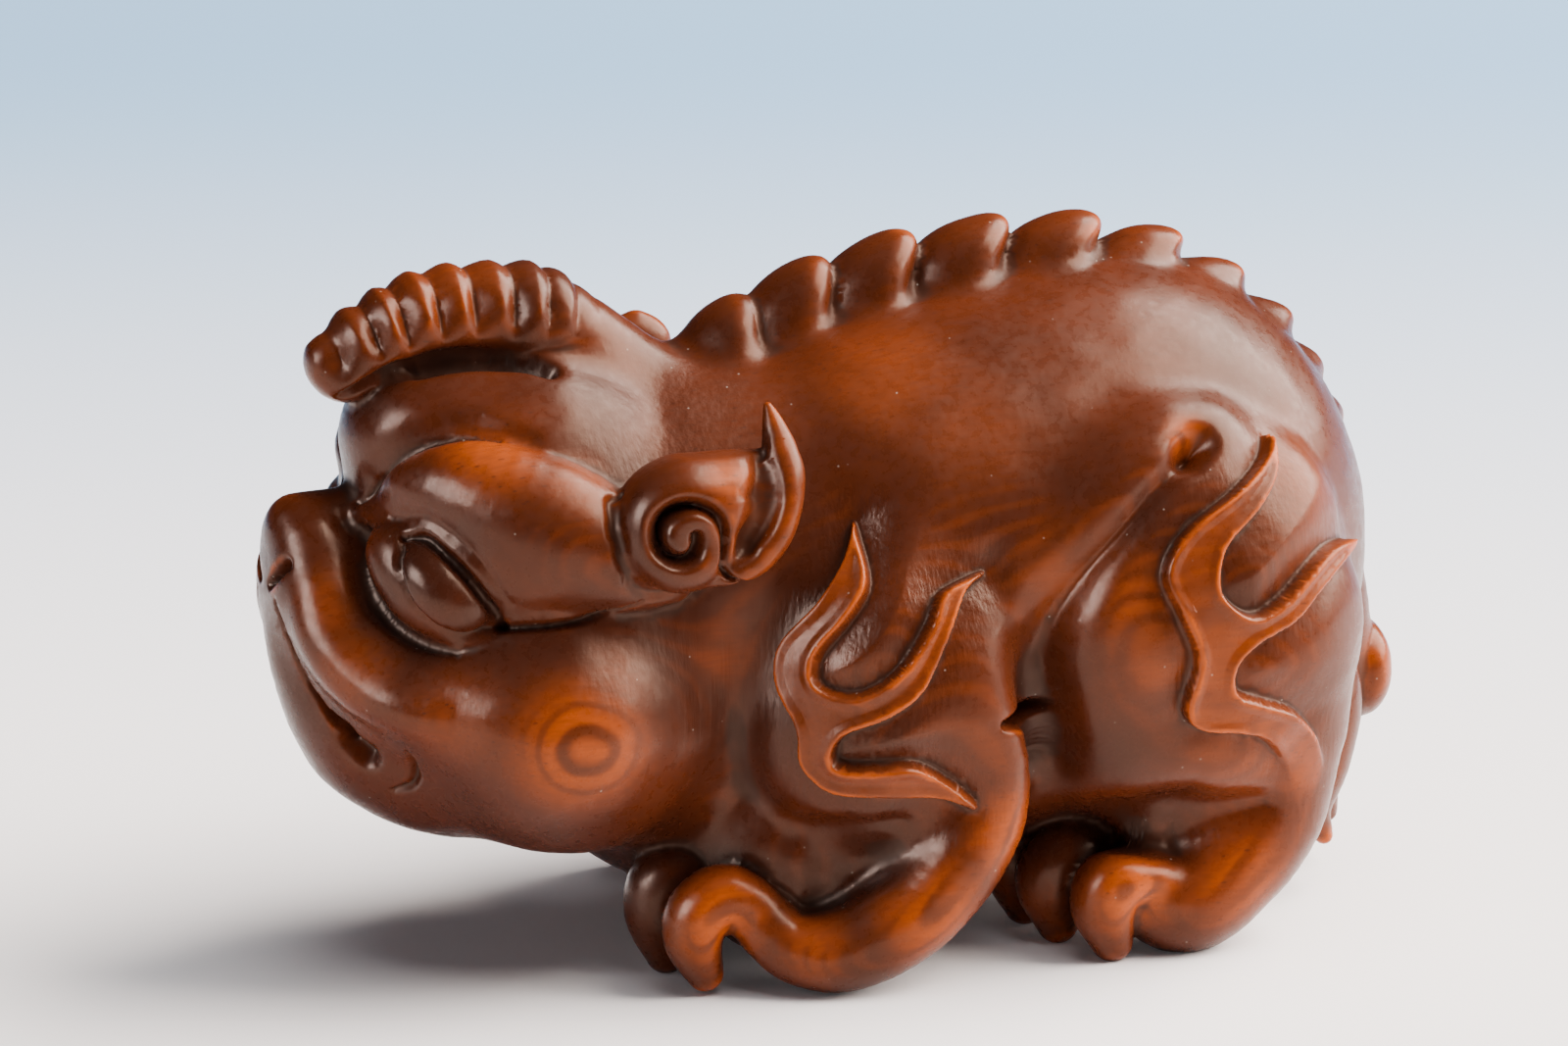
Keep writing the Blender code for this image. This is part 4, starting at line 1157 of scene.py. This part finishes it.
# %% The wood itself
# what the surface is made of: two depths of stain, the darker one also painted as shade,
# bare rubbed wood, dirt and painted shade in the cuts and creases, dust
STAIN = (0.078, 0.0145, 0.0035, 1)
DARK_STAIN_AND_SHADE = (0.034, 0.0085, 0.004, 1)
WORN = (0.34, 0.056, 0.002, 1)
CUT_DIRT_AND_SHADE = (0.014, 0.007, 0.005, 1)
DUST = (0.45, 0.40, 0.34, 1)


def stained_boxwood():
    material = bpy.data.materials.new("stained boxwood")
    material.use_nodes = True
    tree = material.node_tree
    shader = tree.nodes["Principled BSDF"]
    where = add(tree, "ShaderNodeTexCoord").outputs["Object"]
    grain, shade_and_wear, dust = (add(tree, "ShaderNodeGroup", node_tree=group())
                         for group in (grain_group, wear_and_shade_group, dust_group))
    side, worn, band, deep = (kept(tree, name) for name in ("side", "worn", "band", "deep"))
    cloud = add(tree, "ShaderNodeTexNoise",
                {"Vector": where, "Scale": 75.0, "Detail": 4.0, "Roughness": 0.55}).outputs[0]

    # stain, thinner where it was rubbed and along thin edges
    colour = mixed(tree, ranged(tree, cloud, 0.3, 0.7), DARK_STAIN_AND_SHADE, STAIN)
    rubbed = maths(tree, "ADD", maths(tree, "MAXIMUM", worn, times(tree, band, 0.35)),
                   ranged(tree, kept(tree, "thin"), 0.02, 0.5, 0.0, 0.06))
    rubbed = times(tree, rubbed, ranged(tree, cloud, 0.3, 0.6, 0.45, 1.0), clamp=True)
    colour = mixed(tree, rubbed, colour, WORN)
    # growth rings: the soft early wood took less stain, the late wood more
    early = maths(tree, "POWER", maths(tree, "SUBTRACT", 1.0, grain.outputs["Rings"]), 3.0)
    early = times(tree, early, ranged(tree, side, 0.86, 0.98, 0.0, 0.09), clamp=True)
    colour = mixed(tree, early, colour, WORN)
    late = maths(tree, "POWER", grain.outputs["Rings"], 3.0)
    shown = times(tree, ranged(tree, side, 0.78, 0.94, 0.12, 0.9),
                  maths(tree, "ADD", times(tree, worn, 0.9), 0.08))
    colour = mixed(tree, times(tree, late, shown, clamp=True), colour, DARK_STAIN_AND_SHADE)
    colour = mixed(tree, ranged(tree, grain.outputs["Fibre"], 0.3, 0.7, 0.0, 0.22), colour, DARK_STAIN_AND_SHADE)
    # painted shade darkens the hollows, the dark spots add darker stain and painted shade, and rims wear
    # bright
    colour = mixed(tree, shade_and_wear.outputs["Shade"], colour, DARK_STAIN_AND_SHADE)
    colour = mixed(tree, deep, colour, DARK_STAIN_AND_SHADE)
    bright = times(tree, shade_and_wear.outputs["Bright"], maths(tree, "SUBTRACT", 1.0, deep))
    colour = mixed(tree, bright, colour, WORN)
    # the few pores show as short dark dashes along the grain
    along = add(tree, "ShaderNodeMapping", {"Vector": where, "Scale": (0.3, 1.0, 1.0)})
    pores = add(tree, "ShaderNodeTexVoronoi", {"Vector": along.outputs[0], "Scale": 2600.0})
    pores = ranged(tree, pores.outputs["Distance"], 0.2, 0.08, 0.0, 0.55)
    colour = mixed(tree, times(tree, pores, ranged(tree, cloud, 0.42, 0.6)), colour, DARK_STAIN_AND_SHADE)
    # dirt and painted shade darken the narrow cuts and creases
    colour = mixed(tree, shade_and_wear.outputs["Seam"], colour, CUT_DIRT_AND_SHADE)
    colour = mixed(tree, dust.outputs["Specks"], colour, DUST)
    tree.links.new(colour, shader.inputs["Base Color"])

    # polish, duller in the seams and where a scraper went
    fine = add(tree, "ShaderNodeTexNoise", {"Vector": where, "Scale": 1900.0, "Detail": 3.0})
    scraped = kept(tree, "scraped")
    rough = ranged(tree, fine.outputs[0], 0.3, 0.7, 0.25, 0.35)
    rough = maths(tree, "SUBTRACT", rough, times(tree, deep, 0.04))
    rough = maths(tree, "ADD", rough, times(tree, shade_and_wear.outputs["Seam"], 0.25))
    rough = maths(tree, "ADD", rough, times(tree, scraped, 0.16), clamp=True)
    tree.links.new(rough, shader.inputs["Roughness"])

    # chisel marks on the ground of the flames, strokes of the scraper, and the fibre
    height = times(tree, grain.outputs["Fibre"], 0.10)
    for scale, stretch, detail, amount in (
            (3600.0, 0.22, 2.0, maths(tree, "ADD", times(tree, kept(tree, "ground"), 0.75), 0.14)),
            (2400.0, 0.06, 3.0, times(tree, scraped, 1.3))):
        drawn = add(tree, "ShaderNodeMapping", {"Vector": where, "Scale": (1.0, 1.0, stretch)})
        marks = add(tree, "ShaderNodeTexNoise",
                    {"Vector": drawn.outputs[0], "Scale": scale, "Detail": detail})
        marks = times(tree, maths(tree, "SUBTRACT", marks.outputs[0], 0.5), amount)
        height = maths(tree, "ADD", height, marks)
    bump = add(tree, "ShaderNodeBump", {"Height": height, "Strength": 0.6, "Distance": 0.00007})
    tree.links.new(bump.outputs[0], shader.inputs["Normal"])
    shader.inputs["Specular IOR Level"].default_value = 0.23
    shader.inputs["Specular Tint"].default_value = (1.0, 0.73, 0.58, 1)
    return material


beast.data.materials.clear()
beast.data.materials.append(stained_boxwood())
print("materials:", [material.name for material in beast.data.materials])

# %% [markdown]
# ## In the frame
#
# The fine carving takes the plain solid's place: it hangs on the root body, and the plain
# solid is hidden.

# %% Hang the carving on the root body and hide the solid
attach(beast, "root")
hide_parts(NODE)

# %% [markdown]
# ## Floor and lights
#
# A plain pale floor and soft daylight. A wide panel high on the right gives the broad pale
# sheen along the back and on neck and cheek. A smaller one on the left is seen only in the
# polish, where it draws the line of light down the muzzle. A weak one overhead softens the
# shadows and isn't mirrored. Towards the back the floor turns bluer, as it does in the
# photograph, and in front of the picture it darkens, because the polish would mirror it.

# %% Floor
FLOOR_NEAR = (0.94, 0.92, 0.94, 1)
FLOOR_FAR = (0.20, 0.38, 0.62, 1)
FLOOR_FRONT = (0.10, 0.09, 0.10, 1)
# the floor also glows a little in its own colour, a painted glow that lightens it and its shadows
FLOOR_GLOW = 0.03


def floor_finish():
    material = bpy.data.materials.new("pale floor")
    material.use_nodes = True
    tree = material.node_tree
    shader = tree.nodes["Principled BSDF"]
    where = add(tree, "ShaderNodeTexCoord").outputs["Object"]
    away = add(tree, "ShaderNodeVectorMath", {0: where, 1: tuple(-towards_camera)},
               operation="DOT_PRODUCT").outputs["Value"]
    colour = mixed(tree, ranged(tree, away, -0.02, 0.22), FLOOR_NEAR, FLOOR_FAR)
    colour = mixed(tree, ranged(tree, away, -0.07, -0.20), colour, FLOOR_FRONT)
    tree.links.new(colour, shader.inputs["Base Color"])
    # painted glow: the floor's colour also shines, as strong as FLOOR_GLOW
    tree.links.new(colour, shader.inputs["Emission Color"])
    shader.inputs["Roughness"].default_value = 0.6
    shader.inputs["Emission Strength"].default_value = FLOOR_GLOW
    return material


bpy.ops.object.select_all(action="DESELECT")
bpy.ops.mesh.primitive_plane_add(size=4)
floor = bpy.context.object
floor.name = "floor"
floor.data.materials.append(floor_finish())


# %% Lights
LIGHT_AIM = Vector((0, 0, 0.018))


def panel(name, turn, rise, distance, size, watts, colour):
    """A square soft light that looks at the middle of the carving."""
    direction = from_view(turn, rise)
    bpy.ops.object.light_add(type="AREA", location=LIGHT_AIM + direction * distance)
    light = bpy.context.object
    light.name = name
    light.rotation_euler = direction.to_track_quat("Z", "Y").to_euler()
    light.data.shape = "SQUARE"
    light.data.size = size
    light.data.energy = watts
    light.data.color = colour
    return light


panel("window right", 84, 38, 0.80, 0.85, 48.0, (1.0, 0.89, 0.80))
glint = panel("window left", -76, 22, 0.80, 0.42, 15.0, (0.94, 0.94, 1.0))
glint.visible_diffuse = False
ceiling = panel("ceiling", 40, 80, 0.90, 0.9, 8.0, (1.0, 0.98, 0.97))
ceiling.visible_glossy = False
world = bpy.data.worlds.new("daylight")
bpy.context.scene.world = world
world.use_nodes = True
sky = world.node_tree.nodes["Background"]
sky.inputs["Color"].default_value = (0.78, 0.86, 1.0, 1)
sky.inputs["Strength"].default_value = 0.06
